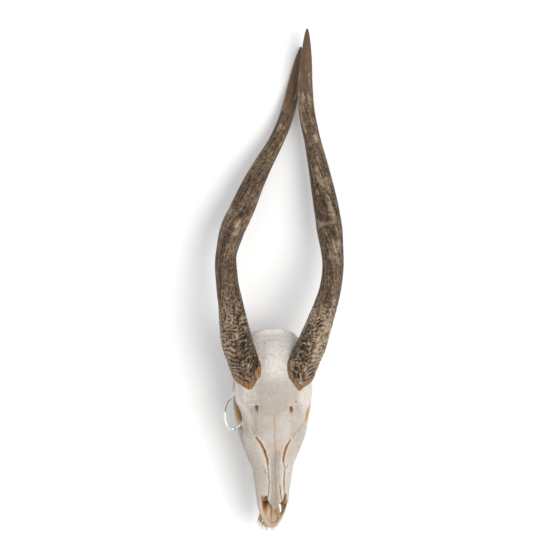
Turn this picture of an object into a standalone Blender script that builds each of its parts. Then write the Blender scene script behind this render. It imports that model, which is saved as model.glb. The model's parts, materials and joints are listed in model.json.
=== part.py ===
"""Skull of a bongo, lying face up, with its horns, lower jaw, teeth and a strip tag in one eye socket.

Lengths below are millimetres and are turned to metres where the meshes are made. +X is the animal's left,
+Y runs from the muzzle to the horn tips, +Z is up, out of the forehead. The skull lies on the angles of the
lower jaw and on the tip of the right horn. The pieces are laid out with Y = 0 at the front of the horn
bases, and move_to_origin then puts the origin under the middle of the whole skull.
"""
import math

import bmesh
import bpy
from mathutils import Matrix, Vector

MM = 0.001
GAP = 0.3
SHEATH_GAP = 0.5

# Driving dimensions
MUZZLE_Y = -288.0
FOREHEAD_Z = 169.0
CHEEK_ROW_FRONT_Y = -152.0
CHEEK_ROW_REAR_Y = -50.0
BITE_Z = 62.0
BITE_SLOPE = 0.07
JAW_ANGLE_Y = 14.0
JAW_SWING_DEGREES = 0.6
JAW_PIVOT_Y = 35.0
CLEAR_BITE = 1.0
ORIGIN_X = 14.5
ORIGIN_Y = 208.0
CUTTER_REACH = 400.0

# Teeth
ROOT_DEPTH = 19.0
NECK_DEPTH = 9.0
CUSP_DEPTH = 1.6
CROWN_DISH = 2.0
TOOTH_SPACE = 0.5
INCISOR_ROOT_Z = 73.0
INCISOR_TIP_Z = 84.0
INCISOR_SOCKET_REACH = 2.0

# Surface and triangle budgets
BONE_VOXEL = 2.6
JAW_VOXEL = 2.2
CRANIUM_FACES = 3400
JAW_FACES = 480
HORN_STATIONS = 27
HORN_SIDES = 12
TOOTH_SIDES = 8
INCISOR_SIDES = 6

SIDES = {"left": 1, "right": -1}


def clear_scene():
    """Removes every object that the file opened with."""
    for obj in list(bpy.data.objects):
        bpy.data.objects.remove(obj, do_unlink=True)


def new_collection(name):
    """Adds a collection to the scene."""
    collection = bpy.data.collections.new(name)
    bpy.context.scene.collection.children.link(collection)
    return collection


def new_material(name, colour, roughness, metallic=0.0):
    """A Principled material of one colour."""
    material = bpy.data.materials.new(name)
    material.use_nodes = True
    shader = material.node_tree.nodes["Principled BSDF"]
    shader.inputs["Base Color"].default_value = (*colour, 1.0)
    shader.inputs["Roughness"].default_value = roughness
    shader.inputs["Metallic"].default_value = metallic
    return material


def new_object(name, mesh, collection):
    """Puts a mesh in a collection as an object at the origin."""
    obj = bpy.data.objects.new(name, mesh)
    collection.objects.link(obj)
    return obj


def mesh_object(name, maker, collection):
    """Runs a bmesh maker, written in millimetres, and keeps the result in metres."""
    form = bmesh.new()
    maker(form)
    bmesh.ops.recalc_face_normals(form, faces=form.faces)
    bmesh.ops.scale(form, vec=(MM, MM, MM), verts=form.verts)
    mesh = bpy.data.meshes.new(name)
    form.to_mesh(mesh)
    form.free()
    return new_object(name, mesh, collection)


def ellipsoid(name, centre, radii, collection, turn=(0.0, 0.0, 0.0)):
    """A ball stretched to three radii, turned by Euler angles in degrees."""
    def maker(form):
        bmesh.ops.create_uvsphere(form, u_segments=24, v_segments=14, radius=1.0)
        angles = [math.radians(angle) for angle in turn]
        rotation = Matrix.Rotation(angles[2], 4, "Z") @ Matrix.Rotation(angles[1], 4, "Y")
        rotation = rotation @ Matrix.Rotation(angles[0], 4, "X")
        place = Matrix.Translation(centre) @ rotation @ Matrix.Diagonal((*radii, 1.0))
        bmesh.ops.transform(form, matrix=place, verts=form.verts)
    return mesh_object(name, maker, collection)


def bar(name, points, radii, collection, cyclic=False, resolution=3):
    """A round bar along points, with a radius at each, made from a bevelled curve."""
    curve = bpy.data.curves.new(name, "CURVE")
    curve.dimensions = "3D"
    curve.bevel_depth = MM
    curve.bevel_resolution = resolution
    curve.use_fill_caps = True
    spline = curve.splines.new("POLY")
    spline.points.add(len(points) - 1)
    spline.use_cyclic_u = cyclic
    for knot, point, radius in zip(spline.points, points, radii):
        knot.co = (*(Vector(point) * MM), 1.0)
        knot.radius = radius
    guide = new_object(name, curve, collection)
    bpy.context.view_layer.update()
    evaluated = guide.evaluated_get(bpy.context.evaluated_depsgraph_get())
    mesh = bpy.data.meshes.new_from_object(evaluated)
    bpy.data.objects.remove(guide, do_unlink=True)
    form = bmesh.new()
    form.from_mesh(mesh)
    bmesh.ops.remove_doubles(form, verts=form.verts, dist=0.0001)
    bmesh.ops.recalc_face_normals(form, faces=form.faces)
    form.to_mesh(mesh)
    form.free()
    return new_object(name, mesh, collection)


def power(value, exponent):
    """A signed power, for the outline of a superellipse."""
    return math.copysign(abs(value) ** exponent, value)


def loft(name, rings, collection, dish=0.0):
    """Skins rings of equal count and closes both ends with a fan of faces.

    The middle of each fan is moved inward by dish.
    """
    def maker(form):
        loops = [[form.verts.new(point) for point in ring] for ring in rings]
        count = len(rings[0])
        for lower, upper in zip(loops, loops[1:]):
            for index in range(count):
                following = (index + 1) % count
                form.faces.new((lower[index], lower[following], upper[following], upper[index]))
        inward = (centre_of(rings[-1]) - centre_of(rings[0])).normalized() * dish
        for loop, ring, shift in ((loops[0], rings[0], inward), (loops[-1], rings[-1], -inward)):
            hub = form.verts.new(centre_of(ring) + shift)
            for index in range(count):
                form.faces.new((loop[index], loop[(index + 1) % count], hub))
    return mesh_object(name, maker, collection)


def centre_of(points):
    """The mean of a list of points."""
    return sum((Vector(point) for point in points), Vector()) / len(points)


def upright_ring(y, half_width, top, bottom, exponent=0.8, centre_x=0.0, count=28):
    """A superellipse standing across the skull at y."""
    middle = 0.5 * (top + bottom)
    half_height = 0.5 * (top - bottom)
    ring = []
    for index in range(count):
        angle = 2.0 * math.pi * index / count
        x = centre_x + half_width * power(math.cos(angle), exponent)
        z = middle + half_height * power(math.sin(angle), exponent)
        ring.append((x, y, z))
    return ring


def upright_loft(name, stations, collection, exponent=0.8, centre_x=0.0):
    """A loft of upright rings from (y, half width, top, bottom) stations."""
    rings = [upright_ring(*station, exponent=exponent, centre_x=centre_x) for station in stations]
    return loft(name, rings, collection)


def mirrored(points, side):
    """Points written for the animal's left, moved to the given side."""
    return [(side * x, y, z) for x, y, z in points]


def evaluated_mesh(obj):
    """The mesh that an object's modifiers give."""
    bpy.context.view_layer.update()
    evaluated = obj.evaluated_get(bpy.context.evaluated_depsgraph_get())
    return bpy.data.meshes.new_from_object(evaluated)


def apply_modifiers(obj):
    """Replaces an object's mesh by the one that its modifiers give."""
    mesh = evaluated_mesh(obj)
    obj.modifiers.clear()
    obj.data = mesh


def fuse(name, forms, voxel, steps, collection):
    """Joins overlapping forms in one skin and softens where they meet."""
    form = bmesh.new()
    for obj in forms:
        form.from_mesh(obj.data)
        bpy.data.objects.remove(obj, do_unlink=True)
    mesh = bpy.data.meshes.new(name)
    form.to_mesh(mesh)
    form.free()
    fused = new_object(name, mesh, collection)
    soften(fused, voxel, steps)
    return fused


def soften(obj, voxel, steps):
    """Remakes a skin at one grain size and smooths it."""
    remesh = obj.modifiers.new("skin", "REMESH")
    remesh.mode = "VOXEL"
    remesh.voxel_size = voxel * MM
    smooth = obj.modifiers.new("soften", "SMOOTH")
    smooth.factor = 0.5
    smooth.iterations = steps
    apply_modifiers(obj)


def cut(obj, cutters):
    """Takes each cutter away from an object."""
    for cutter in cutters:
        cutter.hide_render = True
        cutter.display_type = "WIRE"
        boolean = obj.modifiers.new(cutter.name, "BOOLEAN")
        boolean.operation = "DIFFERENCE"
        boolean.object = cutter
    apply_modifiers(obj)


def thin_out(obj, faces):
    """Brings a skin down to a number of triangles."""
    decimate = obj.modifiers.new("thin", "DECIMATE")
    triangles = sum(len(polygon.vertices) - 2 for polygon in obj.data.polygons)
    decimate.ratio = faces / triangles
    decimate.use_collapse_triangulate = True
    apply_modifiers(obj)


def finish(obj, material, sharp_degrees=40.0):
    """Shades an object smooth and gives it its material."""
    obj.data.shade_smooth()
    obj.data.set_sharp_from_angle(angle=math.radians(sharp_degrees))
    obj.data.materials.clear()
    obj.data.materials.append(material)


def bite_height(y):
    """Height of the plane where upper and lower cheek teeth meet."""
    return BITE_Z + BITE_SLOPE * (CHEEK_ROW_REAR_Y - y)


# Cranium: y, half width, top, bottom of the face from the muzzle back over the forehead
FACE_STATIONS = [
    (-218.0, 32.5, 134.0, 88.0),
    (-190.0, 37.0, 139.0, 84.0),
    (-165.0, 40.5, 144.0, 80.0),
    (-145.0, 46.0, 148.0, 78.0),
    (-125.0, 53.0, 152.0, 77.0),
    (-100.0, 56.0, 158.0, 76.0),
    (-75.0, 54.0, 164.0, 78.0),
    (-50.0, 53.0, 168.0, 82.0),
    (-20.0, 60.0, FOREHEAD_Z, 84.0),
    (5.0, 58.0, FOREHEAD_Z, 78.0),
    (28.0, 42.0, 167.0, 64.0),
    (50.0, 34.0, 161.0, 56.0),
    (72.0, 30.0, 147.0, 58.0),
    (86.0, 26.0, 134.0, 62.0),
]

# Parietal bones behind the horns, out to the crest: y, half width, top, bottom
PARIETAL_STATIONS = [
    (15.0, 44.0, 160.0, 62.0),
    (40.0, 45.0, 158.0, 56.0),
    (60.0, 48.0, 149.0, 54.0),
    (78.0, 53.0, 134.0, 56.0),
    (92.0, 51.0, 121.0, 64.0),
    (101.0, 42.0, 113.0, 78.0),
]

# Premaxillae: y, half width, top, bottom
MUZZLE_STATIONS = [
    (-210.0, 34.0, 130.0, 89.0),
    (-228.0, 32.0, 124.0, 89.0),
    (-242.0, 29.5, 117.0, 89.0),
    (-256.0, 25.5, 110.0, 88.5),
    (-270.0, 20.0, 103.0, 88.0),
    (-281.0, 12.5, 98.0, 88.0),
    (MUZZLE_Y, 5.0, 95.0, 89.0),
]

# Nasal bones: y, half width, top, bottom
NASAL_STATIONS = [
    (-150.0, 16.0, 147.5, 136.0),
    (-180.0, 17.0, 142.0, 130.0),
    (-210.0, 17.0, 137.0, 127.0),
    (-224.0, 16.0, 134.0, 125.0),
    (-233.0, 9.0, 132.0, 124.5),
    (-246.0, 3.0, 129.0, 124.0),
]

# Space inside the nose, open at the muzzle: y, half width, top, bottom
NOSE_STATIONS = [
    (-150.0, 14.0, 126.0, 104.0),
    (-185.0, 22.0, 128.0, 98.0),
    (-215.0, 26.0, 129.0, 95.0),
    (-240.0, 24.5, 140.0, 94.0),
    (-258.0, 20.0, 140.0, 93.5),
    (-272.0, 12.5, 140.0, 93.0),
    (-278.0, 6.0, 140.0, 93.0),
]


def face_forms(collection):
    """Maxillae, frontals, nasals and premaxillae."""
    forms = [
        upright_loft("face", FACE_STATIONS, collection, exponent=0.78),
        upright_loft("muzzle", MUZZLE_STATIONS, collection, exponent=0.7),
    ]
    for side in SIDES.values():
        cheek = mirrored([(39, -168, 96), (44, -148, 93), (50, -125, 93), (56, -102, 97), (60, -84, 102)],
                         side)
        forms.append(bar("cheek", cheek, (2, 5, 8, 11, 10), collection))
        brow = mirrored([(42, -92, 140), (46, -72, 146), (56, -52, 146), (66.5, -33, 142), (69.5, -14, 140),
                         (66, 6, 140), (58, 20, 142)], side)
        forms.append(bar("brow", brow, (9, 9, 8, 8, 8, 10, 13), collection))
        forms.append(ellipsoid("frontal_shelf", (side * 42, -12, 146), (27, 40, 19), collection))
        forms.append(ellipsoid("lacrimal", (side * 45, -96, 122), (14, 32, 23), collection))
        row = mirrored([(30, -172, 89), (33, -152, 86), (38, -125, 84), (41, -90, 82), (42, -55, 82),
                        (38, -40, 84)], side)
        forms.append(bar("tooth_row_bone", row, (3, 9, 12, 13, 13, 9), collection))
    return forms


def orbit_forms(collection):
    """Rims of the eye sockets, the bars behind them and the cheek arches."""
    forms = []
    for side in SIDES.values():
        rim = []
        for index in range(28):
            angle = 2.0 * math.pi * index / 28
            ring_y = -50.0 + 29.0 * math.cos(angle)
            ring_z = 121.0 + 24.0 * math.sin(angle)
            lean = 0.20 * (ring_y + 50.0) - 0.20 * (ring_z - 121.0)
            rim.append((side * (65.5 + lean), ring_y, ring_z))
        forms.append(bar("orbit_rim", rim, [5.2] * len(rim), collection, cyclic=True))
        postorbital = mirrored([(66, -26, 142), (70, -22, 124), (71, -20, 104), (71, -12, 92)], side)
        forms.append(bar("postorbital_bar", postorbital, (7, 5.5, 5.5, 6), collection))
        arch = mirrored([(60, -88, 98), (66, -70, 96), (70.5, -50, 94), (72.5, -30, 92), (72.5, -8, 89),
                         (71, 12, 87), (66, 28, 86), (54, 38, 86)], side)
        forms.append(bar("cheek_arch", arch, (9, 7, 6.5, 6, 5.5, 5.5, 6.5, 9), collection))
        forms.append(ellipsoid("jaw_joint_shelf", (side * 52, 34, 83), (19, 14, 8), collection))
    return forms


def braincase_forms(collection):
    """Braincase, crest, condyles, ear bones, skull base and horn pedicles."""
    crest = [(-55, 74, 88), (-50, 87, 98), (-36, 98, 106), (-18, 103.5, 110), (0, 105, 111)]
    crest += mirrored(reversed(crest[:-1]), -1)
    forms = [
        upright_loft("parietals", PARIETAL_STATIONS, collection, exponent=1.0),
        ellipsoid("braincase", (0, 46, 92), (50, 54, 44), collection, (-14, 0, 0)),
        ellipsoid("occiput", (0, 76, 80), (42, 20, 32), collection),
        bar("crest", crest, (4.0, 4.5, 5.0, 5.5, 6.0, 5.5, 5.0, 4.5, 4.0), collection),
        bar("skull_base", [(0, 84, 48), (0, 50, 53), (0, 15, 60), (0, -20, 68)], (14, 16, 14, 12),
            collection),
    ]
    for side in SIDES.values():
        splay = (-30, 0, side * 12)
        forms.append(ellipsoid("condyle", (side * 19, 86, 50), (11, 15, 16), collection, splay))
        process = mirrored([(38, 74, 62), (38, 73, 46), (36, 71, 31)], side)
        forms.append(bar("paracondylar_process", process, (8, 6, 4), collection))
        forms.append(ellipsoid("ear_bone", (side * 31, 50, 52), (11, 19, 15), collection))
        forms.append(ellipsoid("ear_opening", (side * 49, 59, 74), (12, 11, 10), collection))
        forms.append(ellipsoid("pterygoid", (side * 16, -14, 66), (4.5, 26, 22), collection))
        pedicle = mirrored([(36, -16, 138), (43, 2, 138), (51, 22, 143), (58, 44, 146)], side)
        forms.append(bar("pedicle", pedicle, (20, 28, 30, 27), collection))
    return forms


def cranium_cutters(collection):
    """Hollows of the cranium, taken out before the skin is softened."""
    cutters = [upright_loft("nose", NOSE_STATIONS, collection, exponent=0.75)]
    cutters.append(ellipsoid("palate_hollow", (0, -100, 70), (25, 92, 17), collection, (-3, 0, 0)))
    cutters.append(ellipsoid("rear_nostrils", (0, -14, 62), (11, 40, 22), collection))
    cutters.append(bar("spine_opening", [(0, 112, 56), (0, 84, 63), (0, 62, 72)], (14, 13, 8), collection))
    for side in SIDES.values():
        lean = (0, -side * 8, side * 6)
        cutters.append(ellipsoid("orbit", (side * 68, -50, 119), (33, 24, 19), collection, lean))
        fossa = mirrored([(55, -30, 116), (59, -10, 111), (65, 12, 108), (67, 32, 105)], side)
        cutters.append(bar("temple_opening", fossa, (12, 12, 13, 11), collection))
        cutters.append(ellipsoid("temple_hollow", (side * 52, 0, 97), (13.5, 33, 23), collection))
        cutters.append(ellipsoid("side_window", (side * 58, -10, 74), (14, 34, 10), collection))
        fissure = mirrored([(15.5, -240, 92), (16.5, -252, 92), (13.0, -266, 92)], side)
        cutters.append(bar("palate_slit", fissure, (4.0, 4.6, 2.6), collection))
    return cutters


def face_openings(collection):
    """The slits beside the nasal bones and the two holes above the eyes, cut after the skin is thinned."""
    cutters = []
    for side in SIDES.values():
        slit = mirrored([(34.5, -100, 161), (29.5, -112, 157), (25.5, -124, 154), (21.5, -140, 151),
                         (17.5, -158, 148)], side)
        cutters.append(bar("face_slit", slit, (1.0, 3.4, 3.6, 3.0, 1.0), collection, resolution=1))
        hole = mirrored([(32, -44, 174), (32.5, -49, 164), (33, -54, 158)], side)
        cutters.append(bar("brow_hole", hole, (4.0, 3.6, 2.0), collection, resolution=1))
    return cutters


def nose_forms(collection):
    """The nasal bones and the scroll bone that shows in the nose."""
    return [
        upright_loft("nasals", NASAL_STATIONS, collection, exponent=0.9),
        ellipsoid("scroll", (-10, -248, 104), (3.6, 22, 10.5), collection, (12, 0, -6)),
        bar("midline_bone", [(0, -200, 96), (0, -240, 96), (2, -276, 93)], (3.6, 3.2, 3.2), collection),
    ]


def make_cranium(collection, cutter_collection):
    """All bones of the upper skull in one body."""
    forms = face_forms(collection) + orbit_forms(collection) + braincase_forms(collection)
    cranium = fuse("cranium", forms, BONE_VOXEL, 4, collection)
    cutters = cranium_cutters(cutter_collection)
    cut(cranium, cutters)
    remove_all(cutters)
    cranium = fuse("cranium", [cranium] + nose_forms(collection), BONE_VOXEL, 3, collection)
    keep_largest(cranium)
    thin_out(cranium, CRANIUM_FACES)
    cutters = face_openings(cutter_collection)
    cut(cranium, cutters)
    remove_all(cutters)
    return cranium


def remove_all(objects):
    """Removes cutters that have done their work."""
    for obj in objects:
        bpy.data.objects.remove(obj, do_unlink=True)


def keep_largest(obj):
    """Drops crumbs and closed bubbles that cutting left apart from the main skin."""
    form = bmesh.new()
    form.from_mesh(obj.data)
    form.faces.ensure_lookup_table()
    unseen = set(form.faces)
    shells = []
    while unseen:
        stack = [unseen.pop()]
        shell = []
        while stack:
            face = stack.pop()
            shell.append(face)
            for edge in face.edges:
                for neighbour in edge.link_faces:
                    if neighbour in unseen:
                        unseen.discard(neighbour)
                        stack.append(neighbour)
        shells.append(shell)
    shells.sort(key=len, reverse=True)
    for shell in shells[1:]:
        bmesh.ops.delete(form, geom=shell, context="FACES")
    form.to_mesh(obj.data)
    form.free()


# Lower jaw, the animal's left half: outline points of the body, y, half thickness, top, bottom, middle x
JAW_BODY = [
    (-269.0, 12.0, 80.0, 68.0, 10.4),
    (-254.0, 11.0, 79.0, 62.0, 9.4),
    (-238.0, 9.5, 75.5, 56.0, 8.0),
    (-220.0, 8.5, 71.0, 51.0, 8.4),
    (-200.0, 6.5, 66.0, 45.0, 15.0),
    (-178.0, 6.0, 62.0, 38.0, 22.0),
    (-156.0, 7.5, 60.5, 31.0, 28.0),
    (-130.0, 9.0, 58.5, 22.0, 32.0),
    (-100.0, 9.5, 56.5, 14.0, 36.0),
    (-70.0, 9.5, 54.5, 8.0, 39.5),
    (-45.0, 8.5, 53.0, 4.5, 43.0),
    (-25.0, 7.0, 54.0, 2.0, 47.0),
    (-5.0, 5.5, 60.0, -0.5, 50.0),
    (15.0, 4.8, 66.0, -1.5, 52.0),
    (32.0, 4.0, 60.0, 9.0, 52.5),
]

# Teeth: length along the jaw and width, from the front premolar to the rear molar
UPPER_TEETH = [(12.5, 12.0), (13.5, 14.0), (13.5, 15.5), (17.5, 17.0), (20.0, 18.0), (20.5, 17.0)]
LOWER_TEETH = [(9.5, 7.0), (12.5, 8.5), (14.0, 9.5), (17.0, 10.5), (20.0, 11.0), (26.0, 10.5)]

# Incisors from the middle outward: root x, root y, tip x, tip y, crown width
INCISORS = [
    (4.6, -262.0, 5.4, -294.0, 8.4),
    (9.4, -262.0, 13.6, -290.5, 6.6),
    (14.0, -260.5, 19.6, -285.0, 5.8),
    (18.0, -258.0, 24.2, -278.5, 5.2),
]


def jaw_forms(side, collection):
    """Body, angle, ramus, coronoid and condyle of one half of the lower jaw."""
    rings = []
    for y, half_width, top, bottom, middle in JAW_BODY:
        centre_x = side * middle
        rings.append(upright_ring(y, half_width, top, bottom, exponent=0.75, centre_x=centre_x, count=20))
    forms = [loft("jaw_body", rings, collection)]
    neck = mirrored([(51, 8, 40), (52, 20, 56), (52, 32, 68)], side)
    forms.append(bar("condyle_neck", neck, (5, 6, 6), collection))
    forms.append(ellipsoid("condyle", (side * 54, 34, 68.5), (10, 6.5, 4.5), collection))
    process = mirrored([(51, -6, 50), (53, -6, 70), (54.5, 0, 86), (55, 6, 95)], side)
    forms.append(bar("coronoid", process, (8, 6, 4.4, 3.4), collection))
    angle = mirrored([(51, -18, 5.5), (52, 0, 3.4), (53, JAW_ANGLE_Y, 2.6), (53, 26, 8), (53, 33, 22),
                      (52, 34, 40)], side)
    forms.append(bar("jaw_angle", angle, (4.5, 4.5, 4.5, 4.5, 4.0, 4.5), collection))
    return forms


def box(name, low, high, collection):
    """A box between two corners."""
    def maker(form):
        bmesh.ops.create_cube(form, size=1.0)
        size = [upper - lower for lower, upper in zip(low, high)]
        middle = [0.5 * (lower + upper) for lower, upper in zip(low, high)]
        place = Matrix.Translation(middle) @ Matrix.Diagonal((*size, 1.0))
        bmesh.ops.transform(form, matrix=place, verts=form.verts)
    return mesh_object(name, maker, collection)


def make_jaw(name, side, collection, cutter_collection):
    """One half of the lower jaw, flat in the midline joint and where it rests."""
    jaw = fuse(name, jaw_forms(side, collection), JAW_VOXEL, 3, collection)
    keep_largest(jaw)
    thin_out(jaw, JAW_FACES)
    low_x, high_x = sorted((side * 0.5 * GAP, -side * CUTTER_REACH))
    reach = CUTTER_REACH
    other_side = box("other_side", (low_x, -reach, -reach), (high_x, reach, reach), cutter_collection)
    floor = box("floor", (-reach, -reach, -reach), (reach, reach, 0.0), cutter_collection)
    cut(jaw, [other_side, floor])
    remove_all([other_side, floor])
    return jaw


def tooth_outline(length, width, lobes, swell=0.0):
    """Outline of a cheek tooth seen from above, pinched once for two lobes or twice for three."""
    outline = []
    for index in range(TOOTH_SIDES):
        angle = 2.0 * math.pi * (index + 0.5) / TOOTH_SIDES
        along = (0.5 * length + swell) * power(math.cos(angle), 0.62)
        pinch = 1.0 - 0.16 * (lobes > 1) * math.exp(-((along / (0.16 * length)) ** 2))
        across = (0.5 * width * pinch + swell) * power(math.sin(angle), 0.62)
        outline.append((across, along))
    return outline


def cheek_tooth_rings(place, length, width, lobes, up):
    """Rings of a cheek tooth from its root to the crests of its crown.

    place is the middle of the biting face and up is +1 for a lower tooth.
    """
    x, y, z = place
    rings = []
    for depth, narrow, shorten in ((ROOT_DEPTH, 0.84, 0.84), (NECK_DEPTH, 0.98, 0.98), (0.0, 0.88, 0.96)):
        ring = []
        for across, along in tooth_outline(length, width, lobes):
            valley = 0.0
            if depth == 0.0:
                valley = CUSP_DEPTH * abs(math.sin(math.pi * lobes * along / length))
            ring.append((x + across * narrow, y + along * shorten, z - up * (depth + valley)))
        rings.append(ring)
    return rings


def socket_rings(place, length, width, lobes, up):
    """Rings of the straight hole that a cheek tooth sits in, from its floor to the biting face."""
    x, y, z = place
    outline = tooth_outline(length, width, lobes, GAP)
    rings = []
    for depth in (ROOT_DEPTH + GAP, 0.0):
        rings.append([(x + across, y + along, z - up * depth) for across, along in outline])
    return rings


def row_places(teeth, front_y, line):
    """Middle of each tooth along a row, with the spaces between neighbours."""
    places = []
    y = front_y
    for length, _ in teeth:
        y += 0.5 * length
        places.append((line(y), y, bite_height(y)))
        y += 0.5 * length + TOOTH_SPACE
    return places


def upper_line(y):
    """Distance of the upper tooth row from the middle."""
    return 33.0 + 9.0 * math.sin(math.pi * 0.5 * (y - CHEEK_ROW_FRONT_Y) / 100.0)


def lower_line(y):
    """Distance of the lower tooth row from the middle."""
    return 29.5 + 0.125 * (y - CHEEK_ROW_FRONT_Y)


def make_cheek_teeth(part, side_name, side, teeth, line, up, bone, collection, cutter_collection, material):
    """One row of cheek teeth, each in a socket of the bone that carries it."""
    cutters = []
    places = row_places(teeth, CHEEK_ROW_FRONT_Y, line)
    for number, ((length, width), place) in enumerate(zip(teeth, places), 1):
        seat = (side * place[0], place[1], place[2] - up * 0.5 * CLEAR_BITE)
        lobes = 1 if number < 4 else 2
        rings = cheek_tooth_rings(seat, length, width, lobes, up)
        tooth = loft(f"{part}_tooth_{side_name}_{number}", rings, collection, dish=CROWN_DISH)
        finish(tooth, material, 50.0)
        socket = socket_rings(seat, length, width, lobes, up)
        cutters.append(loft(f"socket_{number}", socket, cutter_collection))
    cut(bone, cutters)
    remove_all(cutters)


def make_incisors(side_name, side, bone, collection, cutter_collection, material):
    """Four front teeth that fan out of one half of the lower jaw."""
    cutters = []
    for number, (root_x, root_y, tip_x, tip_y, width) in enumerate(INCISORS, 1):
        root = Vector((side * root_x, root_y, INCISOR_ROOT_Z))
        tip = Vector((side * tip_x, tip_y, INCISOR_TIP_Z))
        name = f"incisor_{side_name}_{number}"
        tooth = loft(name, incisor_rings(root, tip, width, 0.0), collection)
        finish(tooth, material, 50.0)
        cutters.append(loft(f"socket_{number}", incisor_rings(root, tip, width, GAP), cutter_collection))
    cut(bone, cutters)
    remove_all(cutters)


def incisor_rings(root, tip, width, swell):
    """Rings of a spade-shaped front tooth from its root to its edge."""
    along = (tip - root).normalized()
    across = along.cross(Vector((0.0, 0.0, 1.0))).normalized()
    through = across.cross(along)
    start = root - along * swell
    reach = (tip - start).length
    if swell:
        reach += INCISOR_SOCKET_REACH
    rings = []
    for share, half_width, half_depth in ((0.0, 1.6, 1.8), (0.45, 2.0, 2.4), (0.78, 0.46 * width, 2.0),
                                          (1.0, 0.42 * width, 0.7)):
        ring = []
        for index in range(INCISOR_SIDES):
            angle = 2.0 * math.pi * index / INCISOR_SIDES
            offset = across * ((half_width + swell) * power(math.cos(angle), 0.8))
            offset += through * ((half_depth + swell) * power(math.sin(angle), 0.8))
            ring.append(start + along * (reach * share) + offset)
        rings.append(ring)
    return rings


# Horns: x, y, z of the middle line, half width across, half depth, for each horn from the base to the tip
HORN_LINES = {
    "left": [
        (49.0, 6.0, 136.0, 32.0, 34.0),
        (57.5, 30.0, 146.0, 34.0, 36.5),
        (68.0, 58.0, 146.0, 31.5, 34.5),
        (85.5, 104.0, 137.0, 27.0, 30.0),
        (101.5, 146.0, 127.0, 24.0, 27.0),
        (115.5, 188.0, 116.0, 21.0, 25.0),
        (122.0, 232.0, 104.0, 20.5, 24.0),
        (120.7, 268.0, 95.0, 22.0, 23.0),
        (115.5, 312.0, 85.0, 25.5, 21.5),
        (106.2, 370.0, 72.0, 24.5, 20.5),
        (95.7, 428.0, 61.0, 21.0, 19.0),
        (84.0, 484.0, 53.0, 17.0, 16.5),
        (75.5, 540.0, 48.0, 15.6, 14.5),
        (73.0, 590.0, 46.0, 14.0, 12.5),
        (72.2, 635.0, 46.5, 12.0, 10.5),
        (72.0, 672.0, 47.5, 8.6, 8.0),
        (72.8, 698.0, 48.5, 4.8, 4.6),
        (73.2, 710.0, 49.0, 1.6, 1.6),
    ],
    "right": [
        (-47.0, 6.0, 136.0, 32.0, 34.0),
        (-55.5, 30.0, 146.0, 34.0, 36.5),
        (-66.5, 60.0, 145.0, 33.0, 35.0),
        (-75.5, 104.0, 136.0, 29.5, 30.5),
        (-82.8, 150.0, 124.0, 25.0, 27.0),
        (-90.0, 192.0, 112.0, 22.0, 24.5),
        (-93.4, 236.0, 100.0, 20.5, 23.0),
        (-90.8, 264.0, 92.0, 20.5, 22.5),
        (-78.1, 306.0, 80.0, 24.5, 21.5),
        (-59.5, 344.0, 70.0, 25.0, 20.5),
        (-35.3, 398.0, 57.0, 22.0, 19.0),
        (-12.7, 441.0, 46.0, 18.5, 17.0),
        (9.9, 481.0, 36.0, 15.5, 15.0),
        (29.0, 524.0, 25.5, 14.8, 13.5),
        (41.5, 570.0, 16.5, 12.8, 11.5),
        (51.0, 612.0, 10.6, 10.5, 9.6),
        (58.0, 645.0, 7.6, 8.0, 7.4),
        (62.5, 668.0, 6.6, 4.4, 4.2),
        (64.0, 678.0, 6.6, 1.5, 1.5),
    ],
}

# Horn keel and the wavy rim of the sheath
HORN_KEEL = 0.13
KEEL_SPREAD = 0.42
KEEL_EASE = 0.02
HORN_TWIST_PER_MM = math.radians(90.0) / 240.0
RIM_POINT = 40.0
RIM_SPREAD = 0.95
RIM_SETBACK = 28.0
RIM_REACH = 60.0


def smooth_line(points, share):
    """Reads a smooth curve through points of any number of values, at a share of their count."""
    span = share * (len(points) - 1)
    index = min(int(span), len(points) - 2)
    t = span - index
    before = points[max(index - 1, 0)]
    start = points[index]
    end = points[index + 1]
    after = points[min(index + 2, len(points) - 1)]
    values = []
    for a, b, c, d in zip(before, start, end, after):
        curve = 2.0 * b + (c - a) * t + (2.0 * a - 5.0 * b + 4.0 * c - d) * t * t
        values.append(0.5 * (curve + (3.0 * b - a - 3.0 * c + d) * t ** 3))
    return values


def horn_rings(side_name, side):
    """Rings of a horn whose keel starts at the front of the base and winds inward and backward."""
    line = HORN_LINES[side_name]
    samples = [smooth_line(line, index / (HORN_STATIONS - 1)) for index in range(HORN_STATIONS)]
    rings = []
    travelled = 0.0
    for index, (x, y, z, half_width, half_depth) in enumerate(samples):
        centre = Vector((x, y, z))
        ahead = Vector(samples[min(index + 1, HORN_STATIONS - 1)][:3])
        behind = Vector(samples[max(index - 1, 0)][:3])
        if index:
            travelled += (centre - Vector(samples[index - 1][:3])).length
        tangent = (ahead - behind).normalized()
        across = tangent.cross(Vector((0.0, 0.0, 1.0))).normalized()
        outward = across.cross(tangent).normalized()
        keel = -side * HORN_TWIST_PER_MM * travelled
        ring = []
        for corner in range(HORN_SIDES):
            turn = 2.0 * math.pi * corner / HORN_SIDES
            angle = turn + keel
            ridge = 1.0 + HORN_KEEL * math.exp(-((wrap(turn) / KEEL_SPREAD) ** 2)) - KEEL_EASE
            offset = across * (half_width * ridge * math.sin(angle))
            offset += outward * (half_depth * ridge * math.cos(angle))
            slide = rim_slide(turn) * max(0.0, 1.0 - travelled / RIM_REACH)
            ring.append(centre + offset - tangent * slide)
        rings.append(ring)
    return rings


def wrap(angle):
    """An angle brought to between minus and plus half a turn."""
    return (angle + math.pi) % (2.0 * math.pi) - math.pi


def rim_slide(turn):
    """How far the rim of the sheath runs forward over the bone, most at the keel."""
    return RIM_POINT * math.exp(-((wrap(turn) / RIM_SPREAD) ** 2)) - RIM_SETBACK


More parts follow.
